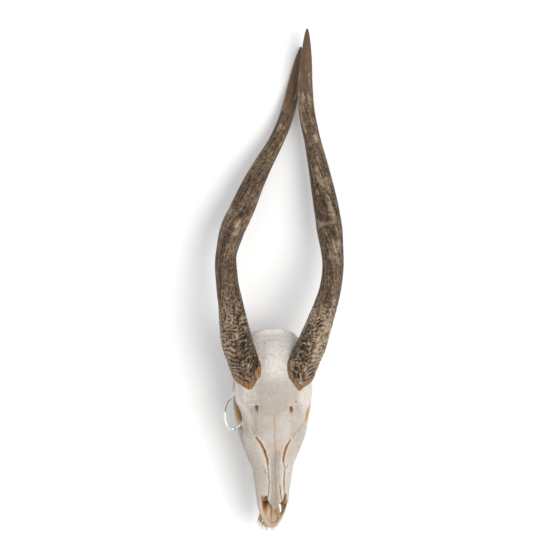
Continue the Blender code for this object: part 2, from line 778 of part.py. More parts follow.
def make_horn(name, side_name, side, cranium, collection, cutter_collection, material):
    """One horn sheath, its base hollowed to sit over the bone with a small gap."""
    horn = loft(name, horn_rings(side_name, side), collection)
    bone = new_object("bone_with_gap", cranium.data.copy(), cutter_collection)
    spread = bone.modifiers.new("gap", "DISPLACE")
    spread.strength = SHEATH_GAP * MM
    spread.mid_level = 0.0
    cut(horn, [bone])
    remove_all([bone])
    keep_largest(horn)
    finish(horn, material, 35.0)
    return horn


# Tag: the strip's path from one side of the clasp into the right eye socket, behind the bar at the back of
# the socket, out again and round to the clasp's other side
TAG_PATH = [
    (-77.0, -86.0, 113.5),
    (-73.8, -85.8, 115.3),
    (-71.6, -81.0, 117.2),
    (-66.0, -72.0, 121.0),
    (-59.5, -62.0, 121.0),
    (-55.0, -50.0, 119.0),
    (-54.0, -36.0, 116.5),
    (-55.5, -20.0, 114.0),
    (-61.0, -6.0, 111.5),
    (-70.0, -2.0, 110.5),
    (-78.5, -9.0, 111.0),
    (-85.0, -23.0, 112.0),
    (-91.5, -38.0, 111.0),
    (-96.0, -56.0, 108.0),
    (-96.2, -71.0, 105.4),
    (-94.2, -80.6, 104.8),
    (-89.5, -83.0, 107.0),
]
TAG_STEPS = 36
TAG_WIDTH = 8.0
TAG_THICKNESS = 1.2
CLASP_WIDTH = 10.5
CLASP_THICKNESS = 6.0
CLASP_GAP = 0.7


def strip_corners(points, axis, width, thickness):
    """Four corners across a flat strip at each of its points."""
    corners = []
    last = len(points) - 1
    for index, point in enumerate(points):
        tangent = (points[min(index + 1, last)] - points[max(index - 1, 0)]).normalized()
        flat = (axis - tangent * axis.dot(tangent)).normalized() * (0.5 * width)
        thick = tangent.cross(flat).normalized() * (0.5 * thickness)
        corners.append([point - flat - thick, point + flat - thick,
                        point + flat + thick, point - flat + thick])
    return corners


def make_tag(collection, material):
    """The strip loop and the clasp that holds its ends."""
    points = [Vector(smooth_line(TAG_PATH, index / TAG_STEPS)) for index in range(TAG_STEPS + 1)]
    axis = loop_normal(points)
    band = loft("tag_band", strip_corners(points, axis, TAG_WIDTH, TAG_THICKNESS), collection)
    finish(band, material, 35.0)
    ends = [points[-1], points[0]]
    along = (ends[1] - ends[0]).normalized()
    reach = (ends[1] - ends[0]).length
    knots = [ends[0] + along * (reach * share) for share in (0.0, 0.2, 0.8, 1.0)]
    knots[0] += along * CLASP_GAP
    knots[-1] -= along * CLASP_GAP
    rings = strip_corners(knots, axis, CLASP_WIDTH, CLASP_THICKNESS)
    for ring in (rings[0], rings[-1]):
        middle = centre_of(ring)
        ring[:] = [middle + (corner - middle) * 0.72 for corner in ring]
    finish(loft("tag_clasp", rings, collection), material, 35.0)


def loop_normal(points):
    """The direction square to a closed loop of points."""
    centre = centre_of(points)
    normal = Vector()
    for index, point in enumerate(points):
        normal += (points[index - 1] - centre).cross(point - centre)
    return normal.normalized()


def swing_jaw(collection):
    """Turns the lower jaw and its teeth a little toward the right, as the loose jaw lies."""
    pivot = Matrix.Translation((0.0, JAW_PIVOT_Y * MM, 0.0))
    turn = pivot @ Matrix.Rotation(math.radians(-JAW_SWING_DEGREES), 4, "Z") @ pivot.inverted()
    for obj in collection.objects:
        if obj.name.startswith(("mandible", "lower_tooth", "incisor")):
            obj.data.transform(turn)


def move_to_origin(collection):
    """Puts the origin at the middle of the whole skull's footprint."""
    for obj in collection.objects:
        obj.data.transform(Matrix.Translation((-ORIGIN_X * MM, -ORIGIN_Y * MM, 0.0)))


def main():
    """Builds every piece of the skull."""
    clear_scene()
    skull = new_collection("bongo_skull")
    cutters = new_collection("cutters")
    bone = new_material("bone", (0.66, 0.60, 0.52), 0.62)
    enamel = new_material("enamel", (0.72, 0.64, 0.50), 0.35)
    horn = new_material("horn", (0.12, 0.085, 0.06), 0.55)
    metal = new_material("tag_metal", (0.80, 0.80, 0.80), 0.28, 1.0)

    cranium = make_cranium(skull, cutters)
    for side_name, side in SIDES.items():
        make_horn(f"horn_{side_name}", side_name, side, cranium, skull, cutters, horn)
    for side_name, side in SIDES.items():
        jaw = make_jaw(f"mandible_{side_name}", side, skull, cutters)
        make_cheek_teeth("upper", side_name, side, UPPER_TEETH, upper_line, -1, cranium, skull, cutters,
                         enamel)
        make_cheek_teeth("lower", side_name, side, LOWER_TEETH, lower_line, 1, jaw, skull, cutters,
                         enamel)
        make_incisors(side_name, side, jaw, skull, cutters, enamel)
        finish(jaw, bone)
    finish(cranium, bone)
    make_tag(skull, metal)
    swing_jaw(skull)
    move_to_origin(skull)


main()
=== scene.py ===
"""Looks of a bongo's skull: its bones, horn sheaths, teeth and strip tag, on a pale studio floor.

The shapes are laid out in millimetres with Y = 0 at the front of the horn bases, as the solids are, and
Layout.to_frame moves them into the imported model's frame, in metres. +X is the animal's left, +Y runs to
the horn tips and +Z is out of the forehead.
"""
from __future__ import annotations

import json
import logging
import math
from dataclasses import dataclass, field
from enum import Enum
from itertools import product

import bmesh
import bpy
import numpy as np
from mathutils import Matrix, Vector
from mathutils.bvhtree import BVHTree

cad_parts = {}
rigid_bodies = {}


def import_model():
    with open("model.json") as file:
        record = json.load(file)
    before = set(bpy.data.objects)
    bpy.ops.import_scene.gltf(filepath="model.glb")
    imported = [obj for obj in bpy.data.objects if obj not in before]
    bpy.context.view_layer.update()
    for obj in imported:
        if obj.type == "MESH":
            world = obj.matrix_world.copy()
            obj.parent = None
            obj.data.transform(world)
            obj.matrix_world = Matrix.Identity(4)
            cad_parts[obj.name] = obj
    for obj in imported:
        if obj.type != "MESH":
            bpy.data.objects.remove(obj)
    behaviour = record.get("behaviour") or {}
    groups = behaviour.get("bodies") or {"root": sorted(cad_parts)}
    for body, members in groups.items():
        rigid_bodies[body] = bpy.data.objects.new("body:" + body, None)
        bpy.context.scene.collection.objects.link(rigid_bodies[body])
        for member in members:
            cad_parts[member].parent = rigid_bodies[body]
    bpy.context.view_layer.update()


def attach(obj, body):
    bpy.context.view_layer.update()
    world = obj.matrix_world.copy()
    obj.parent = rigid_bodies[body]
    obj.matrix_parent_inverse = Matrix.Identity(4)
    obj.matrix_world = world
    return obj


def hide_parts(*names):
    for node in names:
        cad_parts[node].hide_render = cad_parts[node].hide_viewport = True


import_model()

LOG = logging.getLogger("skull")
MM = 0.001

Point = tuple[float, float, float]
Line = list[tuple[float, float]]
Array = np.ndarray


class Side(Enum):
    """The animal's own left and right."""

    LEFT = 1
    RIGHT = -1

    @property
    def word(self) -> str:
        """The side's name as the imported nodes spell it."""
        return self.name.lower()

    def turn(self, points: list[Point]) -> list[Point]:
        """Points written for the left, moved to this side."""
        return [(self.value * x, y, z) for x, y, z in points]


class Layout:
    """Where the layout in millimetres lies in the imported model's frame."""

    SHIFT = np.array((-14.5, -208.0, 0.0))

    @classmethod
    def to_frame(cls, points: Array) -> Array:
        """Layout millimetres to frame metres."""
        return (np.asarray(points, float) + cls.SHIFT) * MM

    @classmethod
    def to_layout(cls, points: Array) -> Array:
        """Frame metres to layout millimetres."""
        return np.asarray(points, float) / MM - cls.SHIFT


def ramp(values: Array, low: float, high: float) -> Array:
    """A smooth step from 0 at low to 1 at high.

    Args:
        values: Numbers to grade.
        low: Where the step starts.
        high: Where it ends.

    Returns:
        The graded numbers.
    """
    share = np.clip((values - low) / (high - low), 0.0, 1.0)
    return share * share * (3.0 - 2.0 * share)


def bell(values: Array, reach: float, power: float = 2.0) -> Array:
    """A hump that is 1 at 0 and falls off past a reach."""
    return np.exp(-((values / reach) ** power))


def noise(points: Array, seed: int, cell: float | Point = 1.0) -> Array:
    """Smooth lattice noise between -1 and 1.

    Args:
        points: Places, one row each.
        seed: Picks the pattern.
        cell: Size of the lattice's cells, one for all axes or one for each.

    Returns:
        One value for each place.
    """
    points = points / np.asarray(cell)
    base = np.floor(points).astype(np.int64)
    part = points - base
    ease = part * part * (3.0 - 2.0 * part)
    total = np.zeros(len(points))
    for corner in product((0, 1), repeat=3):
        cell = base + np.array(corner)
        mixed = cell[:, 0] * 73856093 ^ cell[:, 1] * 19349663 ^ cell[:, 2] * 83492791 ^ seed * 7919
        mixed = (mixed & 0xFFFFFFFF) * 2654435761 & 0xFFFFFFFF
        mixed = (mixed ^ (mixed >> 15)) * 2246822519 & 0xFFFFFFFF
        value = ((mixed ^ (mixed >> 13)) & 0xFFFF) / 32767.5 - 1.0
        weight = np.ones(len(points))
        for axis in range(3):
            weight *= ease[:, axis] if corner[axis] else 1.0 - ease[:, axis]
        total += value * weight
    return total


def line_gap(points: Array, line: Line) -> Array:
    """Distance of points to a line of straight runs, both seen from above.

    Args:
        points: Places in layout millimetres.
        line: Corners of the line, x and y.

    Returns:
        One distance for each place.
    """
    best = np.full(len(points), 1e9)
    corners = np.array(line, float)
    flat = points[:, :2]
    for start, end in zip(corners, corners[1:]):
        run = end - start
        share = np.clip((flat - start) @ run / max(run @ run, 1e-9), 0.0, 1.0)
        gap = np.linalg.norm(flat - start - share[:, None] * run, axis=1)
        best = np.minimum(best, gap)
    return best


def smooth_line(points: list[tuple[float, ...]], share: float) -> list[float]:
    """Reads a smooth curve through points of any number of values.

    Args:
        points: The curve's knots.
        share: Place along it, from 0 to 1, by the count of knots.

    Returns:
        The values there.
    """
    span = share * (len(points) - 1)
    index = min(int(span), len(points) - 2)
    t = span - index
    before = points[max(index - 1, 0)]
    after = points[min(index + 2, len(points) - 1)]
    values = []
    for a, b, c, d in zip(before, points[index], points[index + 1], after):
        curve = 2.0 * b + (c - a) * t + (2.0 * a - 5.0 * b + 4.0 * c - d) * t * t
        values.append(0.5 * (curve + (3.0 * b - a - 3.0 * c + d) * t ** 3))
    return values


def new_piece(name: str, points: Array, faces: list[tuple[int, ...]]) -> bpy.types.Object:
    """Makes a smooth-shaded piece with its faces outward.

    Args:
        name: The piece's name.
        points: Its points, in layout millimetres.
        faces: Its faces.

    Returns:
        The new object, at the origin.
    """
    mesh = bpy.data.meshes.new(name)
    mesh.from_pydata(Layout.to_frame(points).tolist(), [], faces)
    form = bmesh.new()
    form.from_mesh(mesh)
    bmesh.ops.recalc_face_normals(form, faces=form.faces)
    form.to_mesh(mesh)
    form.free()
    mesh.shade_smooth()
    piece = bpy.data.objects.new(name, mesh)
    bpy.context.scene.collection.objects.link(piece)
    return piece


def ring_faces(rows: int, columns: int) -> list[tuple[int, ...]]:
    """Faces between closed rings of points that follow one another.

    Args:
        rows: How many rings there are.
        columns: How many points a ring has.

    Returns:
        The faces, as numbers of their points.
    """
    faces = []
    for low in range(0, (rows - 1) * columns, columns):
        for column in range(columns):
            following = (column + 1) % columns
            faces.append((low + column, low + following, low + columns + following, low + columns + column))
    return faces


def new_tube(name: str, rings: Array, ends: Array | None = None) -> bpy.types.Object:
    """Makes a piece from closed rings of points.

    Args:
        name: The piece's name.
        rings: The rings, as rows of points in layout millimetres.
        ends: The two points that its ends close on, or None for flat ends.

    Returns:
        The new object, at the origin.
    """
    rows, columns = rings.shape[:2]
    last = (rows - 1) * columns
    points = rings.reshape(-1, 3)
    faces = ring_faces(rows, columns)
    if ends is None:
        faces += [tuple(range(columns)), tuple(range(last, last + columns))]
        return new_piece(name, points, faces)
    for column in range(columns):
        following = (column + 1) % columns
        faces.append((following, column, len(points)))
        faces.append((last + column, last + following, len(points) + 1))
    return new_piece(name, np.concatenate([points, ends]), faces)


def get_points(mesh: bpy.types.Mesh) -> Array:
    """A mesh's points in layout millimetres.

    Args:
        mesh: The mesh to work on.

    Returns:
        One row for each point.
    """
    flat = np.empty(len(mesh.vertices) * 3, np.float32)
    mesh.vertices.foreach_get("co", flat)
    return Layout.to_layout(flat.reshape(-1, 3))


def set_points(mesh: bpy.types.Mesh, points: Array) -> None:
    """Puts layout millimetres back in a mesh."""
    mesh.vertices.foreach_set("co", Layout.to_frame(points).astype(np.float32).ravel())
    mesh.update()


def get_normals(mesh: bpy.types.Mesh) -> Array:
    """A mesh's point normals.

    Args:
        mesh: The mesh to work on.

    Returns:
        One row for each point.
    """
    flat = np.empty(len(mesh.vertices) * 3, np.float32)
    mesh.vertices.foreach_get("normal", flat)
    return flat.reshape(-1, 3).astype(float)


def write_marks(mesh: bpy.types.Mesh, name: str, values: Array) -> None:
    """Stores one number, or one vector, for each point of a mesh.

    Args:
        mesh: The mesh to work on.
        name: Its name.
        values: One row for each point.
    """
    kind = "FLOAT" if values.ndim == 1 else "FLOAT_VECTOR"
    field_name = "value" if values.ndim == 1 else "vector"
    mesh.attributes.new(name, kind, "POINT").data.foreach_set(field_name, values.astype(np.float32).ravel())


def keep(piece: bpy.types.Object, slot: str, *nodes: str) -> bpy.types.Object:
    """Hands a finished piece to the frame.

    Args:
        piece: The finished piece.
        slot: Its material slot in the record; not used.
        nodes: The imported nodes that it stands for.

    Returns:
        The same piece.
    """
    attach(piece, "root")
    if nodes:
        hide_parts(*nodes)
    LOG.info("%s: %d faces", piece.name, len(piece.data.polygons))
    return piece


class Tree:
    """Short ways to add and join shader nodes."""

    def __init__(self, name: str) -> None:
        """Starts a material with one Principled shader.

        Args:
            name: Its name.
        """
        self.material = bpy.data.materials.new(name)
        self.material.use_nodes = True
        self.nodes = self.material.node_tree.nodes
        self.links = self.material.node_tree.links
        self.shader = self.nodes["Principled BSDF"]
        self.object = self.nodes.new("ShaderNodeTexCoord").outputs["Object"]

    def join(self, source: bpy.types.NodeSocket, target: bpy.types.NodeSocket) -> None:
        """Links one socket to another."""
        self.links.new(source, target)

    def mark(self, name: str, vector: bool = False) -> bpy.types.NodeSocket:
        """Reads a number or vector stored on the points.

        Args:
            name: Its name.
            vector: Whether it is a vector.

        Returns:
            The value's socket.
        """
        node = self.nodes.new("ShaderNodeAttribute")
        node.attribute_name = name
        return node.outputs["Vector" if vector else "Fac"]

    def scaled(self, source: bpy.types.NodeSocket, scale: Point) -> bpy.types.NodeSocket:
        """Stretches coordinates along their axes.

        Args:
            source: The coordinates or number to change.
            scale: The stretch along each axis.

        Returns:
            The stretched coordinates.
        """
        node = self.nodes.new("ShaderNodeMapping")
        node.inputs["Scale"].default_value = scale
        self.join(source, node.inputs["Vector"])
        return node.outputs["Vector"]

    def grain(self, source: bpy.types.NodeSocket, scale: float, detail: float = 3.0,
              rough: float = 0.55) -> bpy.types.NodeSocket:
        """Noise from 0 to 1.

        Args:
            source: The coordinates to read.
            scale: Cells to the metre.
            detail: Number of finer layers.
            rough: Strength of the finer layers.

        Returns:
            The noise value.
        """
        node = self.nodes.new("ShaderNodeTexNoise")
        node.inputs["Scale"].default_value = scale
        node.inputs["Detail"].default_value = detail
        node.inputs["Roughness"].default_value = rough
        self.join(source, node.inputs["Vector"])
        return node.outputs["Fac"]

    def grade(self, source: bpy.types.NodeSocket, low: float, high: float, first: float = 0.0,
              last: float = 1.0) -> bpy.types.NodeSocket:
        """Maps a range of numbers to another, clamped.

        Args:
            source: The coordinates or number to change.
            low: Where the range starts.
            high: Where the range ends.
            first: What the start becomes.
            last: What the end becomes.

        Returns:
            The new number.
        """
        node = self.nodes.new("ShaderNodeMapRange")
        for name, value in (("From Min", low), ("From Max", high), ("To Min", first), ("To Max", last)):
            node.inputs[name].default_value = value
        self.join(source, node.inputs["Value"])
        return node.outputs["Result"]

    def combine(self, kind: str, first: bpy.types.NodeSocket,
                second: bpy.types.NodeSocket | float) -> bpy.types.NodeSocket:
        """Works out one number from two, by a kind such as MULTIPLY or ADD.

        Args:
            kind: The kind of sum.
            first: The first number.
            second: The second number.

        Returns:
            The result.
        """
        node = self.nodes.new("ShaderNodeMath")
        node.operation = kind
        self.join(first, node.inputs[0])
        if isinstance(second, float):
            node.inputs[1].default_value = second
        else:
            self.join(second, node.inputs[1])
        return node.outputs["Value"]

    def blend(self, share: bpy.types.NodeSocket, first: bpy.types.NodeSocket | Point,
              second: bpy.types.NodeSocket | Point) -> bpy.types.NodeSocket:
        """Mixes two colours.

        Args:
            share: 0 for the first, 1 for the second.
            first: A colour or a socket.
            second: A colour or a socket.

        Returns:
            The mixed colour.
        """
        node = self.nodes.new("ShaderNodeMix")
        node.data_type = "RGBA"
        self.join(share, node.inputs["Factor"])
        for name, value in (("A", first), ("B", second)):
            socket = [item for item in node.inputs if item.name == name and item.type == "RGBA"][0]
            if isinstance(value, tuple):
                socket.default_value = (*value, 1.0)
            else:
                self.join(value, socket)
        return [item for item in node.outputs if item.type == "RGBA"][0]

    def bump(self, height: bpy.types.NodeSocket, strength: float, depth: float) -> None:
        """Adds fine relief.

        Args:
            height: Relief from 0 to 1.
            strength: How much of it shows.
            depth: Its depth in metres.
        """
        node = self.nodes.new("ShaderNodeBump")
        node.inputs["Strength"].default_value = strength
        node.inputs["Distance"].default_value = depth
        self.join(height, node.inputs["Height"])
        last = self.shader.inputs["Normal"]
        if last.is_linked:
            self.join(last.links[0].from_socket, node.inputs["Normal"])
        self.join(node.outputs["Normal"], last)


@dataclass(frozen=True)
class BoneFinish:
    """Bleached bone with amber staining in its seams and openings; the openings, slits, holes and grooves also
    carry painted shade, and the braincase and raised rims carry painted light.
    """

    pale: Point = (0.50, 0.462, 0.420)
    warm: Point = (0.43, 0.377, 0.320)
    grey: Point = (0.265, 0.230, 0.200)
    amber: Point = (0.335, 0.140, 0.016)
    tan: Point = (0.50, 0.34, 0.205)
    light: Point = (0.66, 0.63, 0.595)
    gold: Point = (0.60, 0.36, 0.11)
    brown: Point = (0.12, 0.055, 0.018)

    def build(self) -> bpy.types.Material:
        """Makes the material.

        Returns:
            The bone's material.
        """
        tree = Tree("bleached_bone")
        broad = tree.grade(tree.grain(tree.object, 22.0, 2.0), 0.35, 0.65)
        base = tree.blend(broad, self.pale, self.warm)
        along = tree.scaled(tree.object, (1.0, 0.22, 1.0))
        streak = tree.grade(tree.grain(along, 520.0, 3.0, 0.6), 0.30, 0.75)
        fleck = tree.grade(tree.grain(tree.object, 420.0, 3.0, 0.7), 0.50, 0.74, 0.0, 0.75)
        stipple = tree.grade(tree.grain(tree.object, 170.0, 4.0, 0.75), 0.50, 0.70, 0.0, 0.55)
        # The grey mark is partly painted shade in the grooves that run forward from the holes above the eyes.
        grey = tree.combine("MULTIPLY", tree.mark("grey"), tree.grade(streak, 0.0, 1.0, 0.55, 1.0))
        colour = tree.blend(grey, base, self.grey)
        # The light mark is partly painted light: the braincase behind the horns and the raised edges of the
        # slits and seams are lightened.
        colour = tree.blend(tree.mark("light"), colour, self.light)
        colour = tree.blend(fleck, colour, self.warm)
        colour = tree.blend(stipple, colour, self.grey)
        colour = tree.blend(tree.mark("tan"), colour, self.tan)
        colour = tree.blend(tree.mark("gold"), colour, self.gold)
        mottle = tree.grade(tree.grain(tree.object, 240.0, 3.0, 0.65), 0.30, 0.60, 0.75, 1.0)
        # The amber mark is partly painted shade inside the eye sockets and the nose's opening.
        colour = tree.blend(tree.combine("MULTIPLY", tree.mark("amber"), mottle), colour, self.amber)
        # The brown mark is partly painted shade at the back of the nose's opening, in the slits' middles and in
        # the holes above the eyes.
        colour = tree.blend(tree.mark("brown"), colour, self.brown)
        tree.join(colour, tree.shader.inputs["Base Color"])
        tree.join(tree.grade(streak, 0.0, 1.0, 0.50, 0.72), tree.shader.inputs["Roughness"])
        tree.shader.inputs["Specular IOR Level"].default_value = 0.35
        tree.bump(streak, 0.30, 0.0004)
        tree.bump(tree.grain(tree.object, 260.0, 4.0, 0.6), 0.50, 0.0008)
        return tree.material


@dataclass(frozen=True)
class HornFinish:
    """Weathered horn: dark hollows and tan crests, partly the horn's tone and partly painted shade and painted
    highlights, an amber lip and a browner tip.
    """

    dark: Point = (0.018, 0.012, 0.008)
    middle: Point = (0.118, 0.074, 0.043)
    tan: Point = (0.365, 0.285, 0.205)
    lip: Point = (0.34, 0.19, 0.085)
    lip_dark: Point = (0.10, 0.048, 0.020)
    tip: Point = (0.125, 0.072, 0.038)

    def build(self) -> bpy.types.Material:
        """Makes the material.

        Returns:
            The horn's material.
        """
        tree = Tree("weathered_horn")
        lay = tree.mark("lay", vector=True)
        long_grain = tree.grain(tree.scaled(lay, (1.0, 1.0, 0.05)), 420.0, 4.0, 0.65)
        fine = tree.grain(lay, 700.0, 3.0, 0.7)
        broad = tree.grain(tree.scaled(lay, (1.0, 1.0, 0.35)), 55.0, 3.0, 0.6)
        wisp = tree.grain(tree.scaled(lay, (1.0, 1.0, 0.16)), 260.0, 4.0, 0.7)
        light = tree.mark("crest")
        for grain, low, high, least, most in (
                (long_grain, 0.30, 0.70, -0.15, 0.20), (broad, 0.30, 0.70, -0.14, 0.16),
                (fine, 0.30, 0.70, -0.22, 0.22), (wisp, 0.32, 0.68, -0.14, 0.18)):
            light = tree.combine("ADD", light, tree.grade(grain, low, high, least, most))
        # Dark, middle and tan follow the crest mark, so they hold painted shade in the ridges' hollows and
        # painted highlights on their tops as well as the horn's own tone.
        colour = tree.blend(tree.grade(light, 0.0, 0.45), self.dark, self.middle)
        colour = tree.blend(tree.grade(light, 0.45, 1.10), colour, self.tan)
        reddish = tree.blend(tree.grade(light, 0.0, 0.55), self.middle, self.tip)
        reddish = tree.blend(tree.grade(light, 0.60, 1.20), reddish, self.tan)
        colour = tree.blend(tree.mark("tip"), colour, reddish)
        lip_grain = tree.grain(tree.scaled(lay, (1.0, 1.0, 0.12)), 500.0, 3.0, 0.6)
        lip = tree.blend(tree.grade(lip_grain, 0.38, 0.66), self.lip, self.lip_dark)
        colour = tree.blend(tree.mark("lip"), colour, lip)
        tree.join(colour, tree.shader.inputs["Base Color"])
        tree.join(tree.grade(light, 0.0, 1.0, 0.42, 0.66), tree.shader.inputs["Roughness"])
        tree.shader.inputs["Specular IOR Level"].default_value = 0.20
        tree.bump(long_grain, 0.55, 0.0008)
        tree.bump(fine, 0.35, 0.0004)
        return tree.material


@dataclass(frozen=True)
class EnamelFinish:
    """Tooth enamel, stained toward the gum and in the valleys."""

    crown: Point = (0.68, 0.62, 0.53)
    stain: Point = (0.34, 0.15, 0.022)

    def build(self) -> bpy.types.Material:
        """Makes the material.

        Returns:
            The teeth's material.
        """
        tree = Tree("stained_enamel")
        streak = tree.grain(tree.scaled(tree.object, (1.0, 1.0, 0.25)), 600.0, 3.0, 0.6)
        share = tree.combine("MULTIPLY", tree.mark("stain"), tree.grade(streak, 0.30, 0.65, 0.35, 1.0))
        tree.join(tree.blend(share, self.crown, self.stain), tree.shader.inputs["Base Color"])
        tree.join(tree.grade(streak, 0.3, 0.7, 0.22, 0.42), tree.shader.inputs["Roughness"])
        tree.bump(streak, 0.25, 0.0003)
        return tree.material


@dataclass(frozen=True)
class TagFinish:
    """Bright strip metal with fine scratches along it, and painted shade in dark brown on part of its inner
    face.
    """

    bright: Point = (0.88, 0.88, 0.89)
    dull: Point = (0.28, 0.28, 0.29)
    # Painted shade for part of the strip's inner face.
    worn: Point = (0.07, 0.045, 0.03)

    def build(self) -> bpy.types.Material:
        """Makes the material.

        Returns:
            The metal's material.
        """
        tree = Tree("strip_metal")
        scratch = tree.grain(tree.scaled(tree.object, (1.0, 1.0, 0.3)), 1500.0, 3.0, 0.7)
        colour = tree.blend(tree.grade(scratch, 0.45, 0.8), self.bright, self.dull)
        # Painted shade on part of the strip's inner face, from its mark.
        tree.join(tree.blend(tree.mark("worn"), colour, self.worn), tree.shader.inputs["Base Color"])
        tree.join(tree.grade(scratch, 0.3, 0.7, 0.20, 0.38), tree.shader.inputs["Roughness"])
        tree.shader.inputs["Metallic"].default_value = 1.0
        tree.bump(scratch, 0.15, 0.0002)
        return tree.material


@dataclass
class Clay:
    """Plain forms that a bone is fused from, and the forms that hollow it."""

    objects: list[bpy.types.Object] = field(default_factory=list)
    bar_sides: int = 14

    def _keep(self, form: bmesh.types.BMesh, name: str) -> None:
        """Stores a form that is written in layout millimetres.

        Args:
            form: The form, in layout millimetres.
            name: Its name.
        """
        bmesh.ops.recalc_face_normals(form, faces=form.faces)
        bmesh.ops.translate(form, vec=Vector(Layout.SHIFT), verts=form.verts)
        bmesh.ops.scale(form, vec=(MM, MM, MM), verts=form.verts)
        mesh = bpy.data.meshes.new(name)
        form.to_mesh(mesh)
        form.free()
        obj = bpy.data.objects.new(name, mesh)
        bpy.context.scene.collection.objects.link(obj)
        self.objects.append(obj)

    def ball(self, centre: Point, radii: Point, turn: Point = (0.0, 0.0, 0.0)) -> None:
        """Adds an ellipsoid.

        Args:
            centre: Its middle.
            radii: Its three radii.
            turn: Its turn about X, Y and Z in degrees.
        """
        form = bmesh.new()
        bmesh.ops.create_uvsphere(form, u_segments=32, v_segments=18, radius=1.0)
        angles = [math.radians(angle) for angle in turn]
        rotation = Matrix.Rotation(angles[2], 4, "Z") @ Matrix.Rotation(angles[1], 4, "Y")
        rotation = rotation @ Matrix.Rotation(angles[0], 4, "X")
        place = Matrix.Translation(centre) @ rotation @ Matrix.Diagonal((*radii, 1.0))
        bmesh.ops.transform(form, matrix=place, verts=form.verts)
        self._keep(form, "ball")

    def bar(self, points: list[Point], radii: tuple[float, ...], closed: bool = False) -> None:
        """Adds a round bar.

        Args:
            points: Its path.
            radii: Its radius at each point.
            closed: Whether its ends join.
        """
        form = bmesh.new()
        path = [Vector(point) for point in points]
        count = len(path)
        loops = []
        for index, (point, radius) in enumerate(zip(path, radii)):
            ahead = path[(index + 1) % count] if closed else path[min(index + 1, count - 1)]
            behind = path[index - 1] if closed else path[max(index - 1, 0)]
            tangent = (ahead - behind).normalized()
            first = tangent.orthogonal().normalized()
            if loops:
                first = (last - tangent * last.dot(tangent)).normalized()
            last = first
            second = tangent.cross(first)
            loop = []
            for corner in range(self.bar_sides):
                angle = 2.0 * math.pi * corner / self.bar_sides
                offset = first * math.cos(angle) + second * math.sin(angle)
                loop.append(form.verts.new(point + offset * radius))
            loops.append(loop)
        self._loft(form, loops, "bar", closed)

    def _loft(self, form: bmesh.types.BMesh, loops: list[list[bmesh.types.BMVert]], name: str,
              closed: bool = False) -> None:
        """Joins loops of points with faces and keeps the form.

        Args:
            form: The form that the points are in.
            loops: The loops, in order.
            name: The form's name.
            closed: Whether the last loop joins the first.
        """
        pairs = list(zip(loops, loops[1:]))
        if closed:
            pairs.append((loops[-1], loops[0]))
        for lower, upper in pairs:
            for index in range(len(lower)):
                following = (index + 1) % len(lower)
                form.faces.new((lower[index], lower[following], upper[following], upper[index]))
        if not closed:
            form.faces.new(loops[0])
            form.faces.new(loops[-1])
        self._keep(form, name)

    def hull(self, stations: list[tuple[float, ...]], exponent: float, count: int = 36) -> None:
        """Adds a loft of upright rings.

        Args:
            stations: y, half width, top, bottom and, where it isn't 0, the middle's x.
            exponent: Squareness of the rings, 1 for an ellipse.
            count: Points in a ring.
        """
        form = bmesh.new()
        loops = []
        for y, half_width, top, bottom, *middle in stations:
            centre_x = middle[0] if middle else 0.0
            loop = []
            for index in range(count):
                angle = 2.0 * math.pi * index / count
                across = math.copysign(abs(math.cos(angle)) ** exponent, math.cos(angle))
                up = math.copysign(abs(math.sin(angle)) ** exponent, math.sin(angle))
                height = 0.5 * (top + bottom) + 0.5 * (top - bottom) * up
                loop.append(form.verts.new((centre_x + half_width * across, y, height)))
            loops.append(loop)
        self._loft(form, loops, "hull")

    def fuse(self, name: str, voxel: float, steps: int) -> bpy.types.Object:
        """Joins the forms in one skin and clears them away.

        Args:
            name: Name of the new skin.
            voxel: Its grain in millimetres.
            steps: Rounds of smoothing.

        Returns:
            The skin.
        """
        form = bmesh.new()
        for obj in self.objects:
            form.from_mesh(obj.data)
        self.clear()
        mesh = bpy.data.meshes.new(name)
        form.to_mesh(mesh)
        form.free()
        skin = bpy.data.objects.new(name, mesh)
        bpy.context.scene.collection.objects.link(skin)
        remesh = skin.modifiers.new("skin", "REMESH")
        remesh.mode = "VOXEL"
        remesh.voxel_size = voxel * MM
        soften = skin.modifiers.new("soften", "SMOOTH")
        soften.factor = 0.5
        soften.iterations = steps
        bake(skin)
        return skin

    def hollow(self, skin: bpy.types.Object) -> None:
        """Takes the forms away from a skin and clears them away.

        Args:
            skin: The skin that the forms are taken from.
        """
        for obj in self.objects:
            boolean = skin.modifiers.new("hollow", "BOOLEAN")
            boolean.operation = "DIFFERENCE"
            boolean.object = obj
        bake(skin)
        self.clear()

    def clear(self) -> None:
        """Removes the forms."""
        for obj in self.objects:
            mesh = obj.data
            bpy.data.objects.remove(obj, do_unlink=True)
            bpy.data.meshes.remove(mesh)
        self.objects = []


def bake(obj: bpy.types.Object) -> None:
    """Turns an object's modifiers into plain mesh.

    Args:
        obj: The object to work on.
    """
    bpy.context.view_layer.update()
    evaluated = obj.evaluated_get(bpy.context.evaluated_depsgraph_get())
    mesh = bpy.data.meshes.new_from_object(evaluated)
    obj.modifiers.clear()
    old = obj.data
    obj.data = mesh
    bpy.data.meshes.remove(old)


